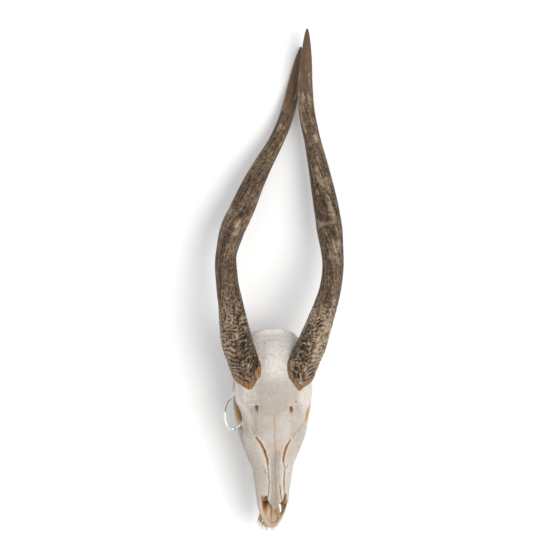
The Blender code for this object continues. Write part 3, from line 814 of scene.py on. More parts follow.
def drop_crumbs(obj: bpy.types.Object) -> None:
    """Keeps the largest connected skin of a mesh.

    Args:
        obj: The object to work on.
    """
    mesh = obj.data
    count = len(mesh.vertices)
    edges = np.empty(len(mesh.edges) * 2, np.int64)
    mesh.edges.foreach_get("vertices", edges)
    edges = edges.reshape(-1, 2)
    label = np.arange(count)
    while True:
        low = np.minimum(label[edges[:, 0]], label[edges[:, 1]])
        before = label.copy()
        np.minimum.at(label, edges[:, 0], low)
        np.minimum.at(label, edges[:, 1], low)
        label = label[label]
        if np.array_equal(label, before):
            break
    values, sizes = np.unique(label, return_counts=True)
    if len(values) == 1:
        return
    largest = values[np.argmax(sizes)]
    form = bmesh.new()
    form.from_mesh(mesh)
    form.verts.ensure_lookup_table()
    crumbs = [form.verts[index] for index in np.nonzero(label != largest)[0]]
    bmesh.ops.delete(form, geom=crumbs, context="VERTS")
    form.to_mesh(mesh)
    form.free()


def thin(obj: bpy.types.Object, triangles: int) -> None:
    """Brings a dense skin down to a number of triangles.

    Args:
        obj: The object to work on.
        triangles: How many triangles may stay.
    """
    have = sum(len(polygon.vertices) - 2 for polygon in obj.data.polygons)
    if have <= triangles:
        return
    decimate = obj.modifiers.new("thin", "DECIMATE")
    decimate.ratio = triangles / have
    bake(obj)


def refine(obj: bpy.types.Object, lines: list[Line], reaches: tuple[float, ...], floor: float) -> None:
    """Splits the faces of a mesh's upper side near some lines, once for each reach.

    Args:
        obj: The piece to refine.
        lines: The lines, seen from above.
        reaches: How far from a line each round of splitting goes, in millimetres.
        floor: Height that the faces lie above, in millimetres.
    """
    form = bmesh.new()
    form.from_mesh(obj.data)
    for reach in reaches:
        points = Layout.to_layout(np.array([vertex.co for vertex in form.verts]))
        gap = np.min([line_gap(points, line) for line in lines], axis=0)
        near = (gap < reach) & (points[:, 2] > floor)
        form.verts.ensure_lookup_table()
        form.edges.ensure_lookup_table()
        edges = [edge for edge in form.edges if near[edge.verts[0].index] and near[edge.verts[1].index]]
        bmesh.ops.subdivide_edges(form, edges=edges, cuts=1, use_grid_fill=True)
        bmesh.ops.triangulate(form, faces=[face for face in form.faces if len(face.verts) > 3])
        form.verts.index_update()
    form.to_mesh(obj.data)
    form.free()


@dataclass
class Cranium:
    """All bones of the upper skull, which have grown together, with the bone bases of the horns."""

    coarse: float = 2.4
    fine: float = 1.35
    triangles: int = 112000
    seam_reaches: tuple[float, float] = (4.5, 2.2)
    seam_floor: float = 112.0
    orbit_y: float = -50.0
    orbit_z: float = 121.0
    face: list[tuple[float, ...]] = field(default_factory=lambda: [
        (-218.0, 32.5, 134.0, 88.0), (-190.0, 37.0, 139.0, 84.0), (-165.0, 40.5, 144.0, 80.0),
        (-145.0, 46.0, 148.0, 78.0), (-125.0, 53.0, 152.0, 77.0), (-100.0, 56.0, 158.0, 76.0),
        (-75.0, 54.0, 164.0, 78.0), (-50.0, 53.0, 168.0, 82.0), (-20.0, 60.0, 169.0, 84.0),
        (5.0, 58.0, 169.0, 78.0), (28.0, 42.0, 167.0, 64.0), (50.0, 34.0, 161.0, 56.0),
        (72.0, 30.0, 147.0, 58.0), (86.0, 26.0, 134.0, 62.0)])
    parietals: list[tuple[float, ...]] = field(default_factory=lambda: [
        (15.0, 44.0, 160.0, 62.0), (40.0, 45.0, 158.0, 56.0), (60.0, 48.0, 149.0, 54.0),
        (78.0, 53.0, 134.0, 56.0), (92.0, 51.0, 121.0, 64.0), (101.0, 42.0, 113.0, 78.0)])
    dome: list[tuple[float, ...]] = field(default_factory=lambda: [
        (-6.0, 36.0, 168.0, 110.0), (12.0, 40.0, 167.5, 100.0), (32.0, 45.0, 164.0, 94.0),
        (50.0, 48.0, 157.0, 90.0), (68.0, 51.0, 146.5, 86.0), (84.0, 51.0, 132.0, 84.0),
        (96.0, 45.0, 119.0, 88.0)])
    muzzle: list[tuple[float, ...]] = field(default_factory=lambda: [
        (-210.0, 34.0, 130.0, 89.0), (-228.0, 32.0, 124.0, 89.0), (-242.0, 29.5, 117.0, 89.0),
        (-256.0, 25.5, 110.0, 88.5), (-270.0, 20.0, 103.0, 88.0), (-281.0, 12.5, 98.0, 88.0),
        (-288.0, 5.0, 95.0, 89.0)])
    nasals: list[tuple[float, ...]] = field(default_factory=lambda: [
        (-150.0, 16.0, 147.5, 136.0, 1.0), (-180.0, 17.0, 142.0, 130.0, 3.0), (-210.0, 17.5, 137.0, 127.0, 4.0),
        (-226.0, 16.5, 134.0, 125.0, 4.5), (-233.0, 12.0, 132.5, 124.5, 4.0), (-240.0, 6.5, 130.5, 124.0, 3.0),
        (-248.0, 2.4, 129.0, 124.5, 2.6)])
    nose: list[tuple[float, ...]] = field(default_factory=lambda: [
        (-150.0, 14.0, 126.0, 104.0), (-185.0, 22.0, 128.0, 98.0), (-215.0, 26.0, 127.0, 95.0, 1.0),
        (-228.0, 22.5, 129.0, 94.0, 3.5), (-240.0, 24.0, 140.0, 94.0, 3.5), (-258.0, 20.0, 140.0, 93.5, 3.0),
        (-272.0, 12.5, 140.0, 93.0, 1.5), (-278.0, 6.0, 140.0, 93.0, 1.0)])

    def build(self, finish: bpy.types.Material) -> bpy.types.Object:
        """Makes, marks and dresses the piece.

        Args:
            finish: The material it wears.

        Returns:
            The finished piece.
        """
        clay = Clay()
        self._face(clay)
        self._sockets(clay)
        self._braincase(clay)
        skin = clay.fuse("cranium_core", self.coarse, 4)
        self._hollows(clay)
        self._slits(clay, skin)
        clay.hollow(skin)
        clay.objects.append(skin)
        clay.hull(self.nasals, 0.9)
        self._nose_bones(clay)
        piece = clay.fuse("cranium_bone", self.fine, 2)
        drop_crumbs(piece)
        thin(piece, self.triangles)
        sharp = [seam.line for seam in SEAMS.values() if not seam.soft]
        refine(piece, sharp, self.seam_reaches, self.seam_floor)
        engraving = Engraving(piece.data)
        engraving.carve()
        engraving.stain()
        piece.data.shade_smooth()
        piece.data.materials.clear()
        piece.data.materials.append(finish)
        return keep(piece, "bone", "cranium")

    def _nose_bones(self, clay: Clay) -> None:
        """Thin bones and edges in the opening of the nose.

        Args:
            clay: The forms that these join.
        """
        clay.ball((-9.5, -250.0, 104.0), (5.2, 21.0, 11.5), (14.0, 18.0, -7.0))
        clay.bar([(-27.0, -210.0, 121.0), (-22.0, -225.0, 120.0), (-25.0, -240.0, 113.5),
                  (-21.5, -256.0, 106.0), (-12.5, -272.0, 99.0)], (3.0, 4.0, 3.4, 3.2, 2.6))
        clay.ball((-15.0, -224.0, 109.0), (9.5, 9.0, 10.0))
        clay.ball((24.0, -230.0, 112.0), (6.5, 7.0, 9.0))
        clay.bar([(29.0, -210.0, 121.0), (25.5, -224.0, 120.5), (30.0, -236.0, 113.5)], (3.0, 4.2, 2.4))
        clay.bar([(8.6, -238.0, 108.0), (11.5, -254.0, 103.0), (15.0, -268.0, 97.0)], (1.6, 1.7, 1.4))
        clay.bar([(0.0, -200.0, 96.0), (0.0, -240.0, 96.0), (2.0, -276.0, 93.0)], (3.6, 3.2, 3.2))

    def _face(self, clay: Clay) -> None:
        """Maxillae, frontals and premaxillae.

        Args:
            clay: The forms that these join.
        """
        clay.hull(self.face, 0.78)
        clay.hull(self.muzzle, 0.7)
        for side in Side:
            s = side.value
            clay.bar(side.turn([(39, -168, 96), (44, -148, 93), (50, -125, 93), (56, -102, 97), (60, -84, 102)]),
                     (2, 5, 8, 11, 10))
            clay.bar(side.turn([(42, -92, 140), (46, -72, 146), (56, -52, 146), (66.5, -33, 142),
                                (69.5, -14, 140), (66, 6, 140), (58, 20, 142)]), (9, 9, 8, 8, 8, 10, 13))
            clay.ball((s * 42, -12, 146), (27, 40, 19))
            clay.ball((s * 45, -96, 122), (14, 32, 23))
            clay.bar(side.turn([(30, -172, 89), (33, -152, 86), (38, -125, 84), (41, -90, 82), (42, -55, 82),
                                (38, -40, 84)]), (3, 9, 12, 13, 13, 9))

    def _sockets(self, clay: Clay) -> None:
        """Rims of the eye sockets, the bars behind them and the cheek arches.

        Args:
            clay: The forms that these join.
        """
        for side in Side:
            rim = []
            for index in range(36):
                angle = 2.0 * math.pi * index / 36
                ahead = 29.0 * math.cos(angle)
                up = 24.0 * math.sin(angle)
                across = side.value * (65.5 + 0.20 * ahead - 0.20 * up)
                rim.append((across, self.orbit_y + ahead, self.orbit_z + up))
            clay.bar(rim, (5.2,) * len(rim), closed=True)
            clay.bar(side.turn([(66, -26, 142), (69, -22, 124), (69.5, -20, 104), (71, -12, 92)]),
                     (7, 4.8, 4.8, 6))
            clay.bar(side.turn([(60, -88, 98), (66, -70, 96), (70.5, -50, 94), (72.5, -30, 92), (72.5, -8, 89),
                                (71, 12, 87), (66, 28, 86), (54, 38, 86)]), (9, 7, 6.5, 6, 5.5, 5.5, 6.5, 9))
            clay.ball((side.value * 52, 34, 83), (19, 14, 8))

    def _braincase(self, clay: Clay) -> None:
        """Braincase, crest, condyles, ear bones, skull base and horn pedicles.

        Args:
            clay: The forms that these join.
        """
        crest = [(-55, 74, 88), (-50, 87, 98), (-36, 98, 106), (-18, 103.5, 110), (0, 105, 111)]
        crest += [(-x, y, z) for x, y, z in reversed(crest[:-1])]
        clay.hull(self.parietals, 1.0)
        clay.hull(self.dome, 1.0)
        clay.ball((0, 46, 92), (50, 54, 44), (-14, 0, 0))
        clay.ball((0, 76, 80), (42, 20, 32))
        clay.bar(crest, (4.0, 4.5, 5.0, 5.5, 6.0, 5.5, 5.0, 4.5, 4.0))
        clay.bar([(0, 84, 48), (0, 50, 53), (0, 15, 60), (0, -20, 68)], (14, 16, 14, 12))
        for side in Side:
            s = side.value
            clay.ball((s * 19, 86, 50), (11, 15, 16), (-30, 0, s * 12))
            clay.bar(side.turn([(38, 74, 62), (38, 73, 46), (36, 71, 31)]), (8, 6, 4))
            clay.ball((s * 31, 50, 52), (11, 19, 15))
            clay.ball((s * 49, 59, 74), (12, 11, 10))
            clay.ball((s * 16, -14, 66), (4.5, 26, 22))
            clay.bar(side.turn([(36, -16, 138), (43, 2, 138), (51, 22, 143), (58, 44, 146)]), (20, 28, 30, 27))

    def _hollows(self, clay: Clay) -> None:
        """Spaces taken out of the bone.

        Args:
            clay: The forms that these join.
        """
        clay.hull(self.nose, 0.75)
        clay.ball((0, -100, 70), (25, 92, 17), (-3, 0, 0))
        clay.ball((0, -14, 62), (11, 40, 22))
        clay.bar([(0, 112, 56), (0, 84, 63), (0, 62, 72)], (14, 13, 8))
        for side in Side:
            s = side.value
            clay.ball((s * 68, -50, 119), (33, 24, 19), (0, -s * 8, s * 6))
            clay.bar(side.turn([(55, -30, 116), (59, -10, 111), (65, 12, 108), (67, 32, 105)]),
                     (12, 12, 13, 11))
            clay.ball((s * 52, 0, 97), (13.5, 33, 23))
            clay.ball((s * 58, -10, 74), (14, 34, 10))
            clay.bar(side.turn([(15.5, -240, 92), (16.5, -252, 92), (13.0, -266, 92)]), (4.0, 4.6, 2.6))

    def _slits(self, clay: Clay, skin: bpy.types.Object) -> None:
        """Slits beside the nasal bones, holes above the eyes and the open upper edges of the sockets.

        Args:
            clay: Takes the forms to cut away.
            skin: The bone that they are cut in, which gives their height.
        """
        mesh = skin.data
        tree = BVHTree.FromPolygons([vertex.co for vertex in mesh.vertices],
                                    [tuple(polygon.vertices) for polygon in mesh.polygons])

        def height(x: float, y: float) -> float:
            """Height of the bone's upper surface.

            Args:
                x: Place across.
                y: Place along.

            Returns:
                The height, in millimetres.
            """
            place = Vector(Layout.to_frame(np.array((x, y, 260.0))))
            hit = tree.ray_cast(place, Vector((0.0, 0.0, -1.0)))[0]
            return 150.0 if hit is None else hit.z / MM

        for name, radii in (("slit_right", (0.8, 1.9, 1.9, 1.7, 0.8)), ("slit_left", (0.8, 1.8, 1.8, 0.8))):
            for sink in (0.4, 3.4, 6.4):
                clay.bar([(x, y, height(x, y) - sink) for x, y in SEAMS[name].line], radii)
        for x, y in ((-33.7, -44.0), (33.4, -47.0)):
            top = height(x, y)
            hole = [(x, y + 4.5, top + 1.5), (x, y, top - 1.0), (x + 0.3, y - 5.5, top - 3.5)]
            clay.bar(hole, (2.4, 3.0, 2.2))
        clay.ball((43.0, -33.1, height(43.0, -33.1)), (1.7, 1.7, 3.0))
        right = [(-80.5, -30.0), (-74.0, -46.5), (-66.8, -60.5), (-59.5, -70.5)]
        left = [(77.5, -44.0), (74.5, -57.5), (69.0, -71.5)]
        for line in (right, left):
            for z in (126.0, 134.0, 142.0, 150.0):
                clay.bar([(x, y, z) for x, y in line], (4.5,) + (6.2,) * (len(line) - 2) + (4.0,))
        clay.bar([(63.3, -64.5, 140), (59.4, -71.4, 137), (55.4, -76.3, 134)], (1.2, 2.2, 1.4))
        clay.bar([(15.0, -240.5, 91), (18.0, -253.0, 91), (18.6, -264.0, 92)], (4.4, 4.6, 2.6))


# Marks on the face, seen from above, in layout millimetres
@dataclass(frozen=True)
class Seam:
    """A seam, crack or groove of the skull.

    Attributes:
        line: Its run, seen from above.
        reach: How wide it is cut.
        deep: How deep it is cut.
        stain_reach: How wide its amber stain is.
        stain: How strong the amber stain is.
        brown: How strong the brown line in its middle is.
        soft: Whether it is too broad to need finer faces.
    """

    line: Line
    reach: float = 1.0
    deep: float = 0.0
    stain_reach: float = 1.0
    stain: float = 0.0
    brown: float = 0.0
    soft: bool = False


SEAMS: dict[str, Seam] = {
    "midline": Seam([(-0.6, -60.7), (0.8, -87.0), (1.2, -111.8), (3.0, -126.2), (3.6, -144.7), (3.6, -183.7),
                     (5.3, -225.0), (3.6, -248.1)], 1.1, 0.7, 1.15, 0.85),
    "slit_right": Seam([(-34.1, -103.7), (-26.1, -114.0), (-17.9, -130.4), (-12.5, -147.0), (-11.5, -157.1)],
                       soft=True),
    "slit_left": Seam([(32.7, -109.1), (25.8, -120.2), (21.2, -134.8), (19.1, -151.1)], soft=True),
    "seam_right": Seam([(-11.5, -157.1), (-9.6, -173.6), (-8.6, -194.1), (-9.8, -214.7), (-10.9, -225.1)],
                       1.2, 0.9, 1.35, 0.95, 0.50),
    "seam_left": Seam([(19.1, -151.1), (23.2, -167.6), (21.0, -184.0), (22.0, -204.7), (24.7, -221.2)],
                      1.4, 1.3, 1.6, 1.0, 0.60),
    "twig_right": Seam([(-22.5, -158.4), (-15.2, -173.8)], 0.9, 0.6, 1.1, 0.7, 0.4),
    "twig_left": Seam([(27.4, -159.8), (22.7, -171.2)], 0.9, 0.6, 1.1, 0.8, 0.5),
    "crack": Seam([(12.9, -198.5), (14.4, -211.9), (16.7, -228.2)], 1.1, 1.4, 1.3, 1.0),
    "nasal_top": Seam([(-12.0, -148.0), (-9.6, -136.6), (-4.6, -128.4), (2.4, -126.8), (10.5, -130.4),
                       (16.8, -142.8), (19.1, -151.1)], 1.1, 0.8, 1.0, 0.35),
    "groove_right": Seam([(-33.7, -48.6), (-38.3, -64.3), (-38.0, -82.3), (-34.9, -100.2)],
                         3.4, 1.3, soft=True),
    "groove_left": Seam([(33.8, -50.9), (35.9, -64.7), (36.3, -88.5), (33.3, -106.4)], 3.4, 1.3, soft=True),
    "cheek_left": Seam([(52.9, -120.2), (49.1, -133.5)], 1.4, 1.0, 1.4, 0.8),
    "cheek_right": Seam([(-62.7, -83.1), (-54.9, -94.8), (-47.1, -106.5)], 2.2, 1.2, 1.6, 0.45, soft=True),
    "tear_right": Seam([(-45.7, -80.2), (-38.3, -95.2), (-34.8, -104.3)], 2.6, 1.0, 1.5, 0.45),
    "tear_left": Seam([(56.6, -81.4), (44.6, -93.9), (36.0, -104.9)], 2.6, 1.2, 1.4, 0.75),
    "parietal": Seam([(-41.0, 84.4), (-17.6, 83.6), (6.0, 84.5), (33.9, 83.4)],
                     1.4, 0.25, 1.6, 0.10, soft=True),
}


class Engraving:
    """Seams, grooves and stains of the cranium, with painted shade in its hollows and painted light on its
    braincase and rims, worked on the points of its mesh.
    """

    brows: tuple[Line, Line] = ([(-73.4, -32.6), (-67.5, -48.3), (-60.6, -62.1), (-54.7, -72.0)],
                                [(71.0, -44.0), (68.2, -58.7), (63.3, -72.4)])
    dark_run: Line = [(22.4, -172.0), (21.2, -186.0), (21.6, -198.0)]
    plateau_edge: Line = [(-44.0, -36.0), (-31.6, -44.7), (-23.8, -56.5), (-12.0, -62.4), (-0.5, -60.5),
                          (13.4, -58.6), (23.2, -50.9), (30.9, -41.1), (44.0, -34.0)]

    def __init__(self, mesh: bpy.types.Mesh) -> None:
        """Reads the mesh.

        Args:
            mesh: The cranium's mesh.
        """
        self.mesh = mesh
        self._read()

    def _read(self) -> None:
        """Reads the points, how far each faces up, and the points pushed about for uneven lines."""
        points = self.points = get_points(self.mesh)
        self.normals = get_normals(self.mesh)
        self.up = ramp(self.normals[:, 2], 0.05, 0.35)
        wander = np.stack([noise(points, 11, 5.0), noise(points, 12, 5.0), np.zeros(len(points))], axis=1)
        self.bent = points + 0.9 * wander

    def _spot(self, centre: tuple[float, float], along: float = 1.0) -> Array:
        """How far each point lies from a place, seen from above.

        Args:
            centre: The place.
            along: Weight of the distance along Y.

        Returns:
            One distance for each point, in millimetres.
        """
        return np.hypot(self.points[:, 0] - centre[0], along * (self.points[:, 1] - centre[1]))

    def carve(self) -> None:
        """Cuts the seams in and raises the plates between them."""
        points, up = self.points, self.up
        depth = np.zeros(len(points))
        for seam in SEAMS.values():
            if seam.deep:
                depth += seam.deep * bell(line_gap(self.bent, seam.line), seam.reach)
        depth *= up
        depth -= 0.40 * noise(points, 3, 17.0) * up + 0.30 * noise(points, 5, 6.0)
        depth -= 0.16 * noise(points, 8, (2.4, 6.0, 2.4))
        pucker = noise(points, 21, (8.0, 2.2, 4.0))
        for centre in ((-38.0, -38.0), (38.0, -43.0)):
            depth -= 0.95 * pucker * bell(self._spot(centre), 13.0) * up
        set_points(self.mesh, points - self.normals * depth[:, None])
        self._read()

    def stain(self) -> None:
        """Stores where the bone is amber, tan, brown, grey and light; part of this is painted shade in the
        sockets, the nose, the slits, the holes and the grooves, and painted light on the braincase and the
        raised rims.
        """
        points = self.points
        x, y, z = points.T
        cloud = 0.5 + 0.5 * noise(points, 26, 7.0)
        inside = self._orbit(points)
        outer = ramp(abs(x), 46.0, 62.0)
        nose = self._nose(points)
        deep = ramp(y, -268.0, -238.0)
        scroll = np.sqrt(((x + 10.0) / 6.0) ** 2 + ((y + 250.0) / 22.0) ** 2) < 1.0
        scroll = scroll * ramp(z, 104.0, 109.0) * ramp(-y, 232.0, 238.0) * nose
        wrinkle = np.zeros(len(points))
        for centre in ((-40.0, -38.0), (40.0, -43.0)):
            wrinkle = np.maximum(wrinkle, bell(self._spot(centre, 0.9), 13.0) * (z > 130.0))
        fine = 0.5 + 0.5 * noise(points, 21, (7.0, 1.9, 4.0))

        # Inside the eye sockets the amber here and the tan below are partly the bone's stain and partly painted
        # shade in the hollows.
        amber = np.maximum(self._amber_lines(), inside * (0.05 + 0.45 * cloud))
        brow = np.minimum(line_gap(points, self.brows[0]), line_gap(points, self.brows[1]))
        amber = np.maximum(amber, 0.7 * bell(brow, 2.2) * ramp(146.0 - z, 0.0, 6.0) * (z > 112.0))
        # In the nose's opening the amber here and the tan below grow toward the back: partly the bone's stain,
        # partly painted shade deeper in the opening.
        amber = np.maximum(amber, nose * 0.85 * deep * (0.7 + 0.3 * noise(points, 27, 4.0)))
        amber *= 1.0 - 0.85 * scroll
        tan = np.maximum(nose * (0.75 + 0.25 * deep), 0.45 * scroll)
        tan = np.maximum(tan, (0.75 + 0.25 * cloud) * inside * (0.35 + 0.65 * outer))
        tan = np.maximum(tan, 0.72 * ramp(-y, 234.0, 258.0) * ramp(z, 84.0, 90.0) * (0.75 + 0.25 * cloud))
        lower_rim = ramp(106.0 - z, 0.0, 4.0) * ramp(abs(x), 62.0, 68.0) * ramp(-y, 24.0, 34.0)
        tan = np.maximum(tan, 0.45 * lower_rim * ramp(y, -86.0, -76.0))
        tan = np.maximum(tan, 0.16 * ramp(noise(points, 28, 9.0), 0.2, 0.8))
        # Painted light: the braincase behind the horn bases is lightened where it faces the light, and the
        # raised rims get painted highlights.
        light = np.maximum(0.85 * ramp(y, -6.0, 34.0) * ramp(z, 70.0, 96.0), self._rim_highlights(cloud))
        light = np.maximum(light, 0.45 * wrinkle * ramp(0.50 - fine, 0.0, 0.30) * self.up)
        light = np.maximum(light, 0.55 * ramp(abs(x), 44.0, 56.0) * ramp(y, -62.0, -30.0) * (z > 120.0))

        marks = {"gold": inside * (0.60 + 0.40 * cloud) * outer, "light": light, "amber": amber, "tan": tan,
                 "brown": self._brown(nose), "grey": self._grey(wrinkle * fine)}
        for name, values in marks.items():
            write_marks(self.mesh, name, np.clip(values, 0.0, 1.0))

    def _amber_lines(self) -> Array:
        """How amber each point is from the seams, the slits and the holes above the eyes.

        Returns:
            One value for each point.
        """
        points, z = self.points, self.points[:, 2]
        amber = np.zeros(len(points))
        broken = 0.65 + 0.35 * noise(points, 23, 6.0)
        for seam in SEAMS.values():
            if seam.stain:
                line = bell(line_gap(self.bent, seam.line), seam.stain_reach, 4.0)
                amber = np.maximum(amber, seam.stain * broken * line * self.up)
        for name, widths in (("slit_right", (1.2, 2.6, 2.6, 2.3, 1.5)), ("slit_left", (1.2, 2.4, 2.5, 1.6))):
            line = SEAMS[name].line
            half = np.interp(-points[:, 1], -np.array(line)[:, 1], widths)
            amber = np.maximum(amber, ramp(half + 0.35 - line_gap(points, line), 0.0, 0.7) * (z > 120.0))
        for centre, reach in (((-33.9, -47.0), 3.7), ((33.6, -49.5), 3.9), ((43.0, -33.1), 1.9)):
            amber = np.maximum(amber, bell(self._spot(centre, 0.62), reach, 4.0) * (z > 135.0))
        return amber

    def _brown(self, nose: Array) -> Array:
        """How brown each point is: in the nose, in the seams, in the slits and in the holes; at the back of the
        nose it is partly painted shade, and in the slits' middles and the holes it is painted shade.

        Args:
            nose: How far each point lies inside the opening of the nose.

        Returns:
            One value for each point.
        """
        points, up, z = self.points, self.up, self.points[:, 2]
        # Partly stain, partly painted shade: brown at the back of the nose's opening, under the nasal bones.
        brown = 0.50 * nose * ramp(points[:, 1], -242.0, -232.0)
        broken = 0.5 + 0.5 * noise(points, 29, 5.0)
        for seam in SEAMS.values():
            if seam.brown:
                line = bell(line_gap(self.bent, seam.line), 0.75)
                brown = np.maximum(brown, seam.brown * line * up * broken)
        crack = bell(line_gap(self.bent, SEAMS["crack"].line), 0.7)
        brown = np.maximum(brown, 0.75 * crack * up * (noise(points, 24, 3.0) > -0.35))
        brown = np.maximum(brown, 0.7 * bell(line_gap(self.bent, self.dark_run), 0.9) * up)
        # Painted shade in the middles of the slits.
        for name in ("slit_right", "slit_left"):
            brown = np.maximum(brown, 0.60 * bell(line_gap(points, SEAMS[name].line), 1.3) * (z > 120.0))
        # Painted shade in the holes above the eyes.
        for centre in ((-34.2, -42.5), (33.2, -45.0)):
            brown = np.maximum(brown, bell(self._spot(centre), 3.3, 4.0) * (z > 135.0))
        return brown

    def _grey(self, wrinkle: Array) -> Array:
        """How grey each point is: between the horns, on the nasal bones and, as painted shade, in the grooves.

        Args:
            wrinkle: How far each point lies in the wrinkles round the holes above the eyes.

        Returns:
            One value for each point.
        """
        points, up = self.points, self.up
        x, y, z = points.T
        edge = np.interp(x, *np.array(self.plateau_edge).T)
        plateau = ramp(y - edge, -3.0, 5.0) * ramp(-y, -34.0, 6.0)
        plateau *= ramp(39.0 - abs(x), 0.0, 16.0) * (z > 150.0)
        nasal = ramp(-y, 126.0, 136.0) * ramp(11.0 - abs(x - 4.0), 0.0, 5.0) * up
        nasal *= 0.7 + 0.3 * ramp(-y, 200.0, 240.0)
        nasal *= 0.55 + 0.45 * (0.5 + 0.5 * noise(points, 22, (3.0, 30.0, 8.0)))
        blotch = ramp(noise(points, 25, 13.0), 0.0, 0.8)
        groove = np.minimum(*(line_gap(points, SEAMS[name].line) for name in ("groove_right", "groove_left")))
        grey = 0.55 * plateau + 1.60 * nasal + 1.10 * wrinkle + 0.22 * blotch
        # Painted shade in the grooves that run forward from the holes above the eyes.
        return grey + 0.30 * bell(groove, 4.5) * up * (z > 130.0)

    def _rim_highlights(self, cloud: Array) -> Array:
        """How much painted highlight each point gets on the raised edges of the slits and seams.

        Args:
            cloud: Patches from 0 to 1 that make the edges uneven.

        Returns:
            One value for each point.
        """
        rims = np.zeros(len(self.points))
        for name, middle in (("slit_right", 4.3), ("slit_left", 4.1), ("seam_left", 3.0), ("seam_right", 2.8),
                             ("crack", 2.6)):
            rim = bell(line_gap(self.points, SEAMS[name].line) - middle, 1.2)
            rims = np.maximum(rims, (0.40 + 0.30 * cloud) * rim * self.up * (self.points[:, 2] > 120.0))
        return rims

    @staticmethod
    def _orbit(points: Array) -> Array:
        """How far inside the eye sockets each point lies, from 0 to 1.

        Args:
            points: Places in layout millimetres, one row each.

        Returns:
            One value for each point.
        """
        x, y, z = points.T
        reach = np.sqrt(((abs(x) - 66.0) / 32.0) ** 2 + ((y + 50.0) / 26.5) ** 2 + ((z - 121.0) / 24.0) ** 2)
        return ramp(-reach, -1.08, -0.94) * ramp(74.0 - abs(x), 0.0, 8.0)

    @staticmethod
    def _nose(points: Array) -> Array:
        """How far inside the opening of the nose each point lies, from 0 to 1.

        Args:
            points: Places in layout millimetres, one row each.

        Returns:
            One value for each point.
        """
        x, y, z = points.T
        reach = np.array([(-278.0, 6.0), (-272.0, 12.5), (-258.0, 20.0), (-240.0, 24.5), (-215.0, 26.0),
                          (-185.0, 22.0), (-150.0, 14.0)])
        half = np.interp(y, reach[:, 0], reach[:, 1])
        middle = np.interp(y, [-272.0, -240.0, -215.0, -185.0], [1.5, 3.5, 1.0, 0.0])
        share = ramp(half + 0.6 - abs(x - middle), 0.0, 1.4) * (y > -277.0) * (y < -150.0)
        roof = np.interp(y, [-278.0, -258.0, -246.0, -224.0, -150.0], [103.0, 111.0, 120.0, 126.0, 126.0])
        return share * ramp(roof - z, -0.5, 2.5) * ramp(z, 88.0, 90.0)


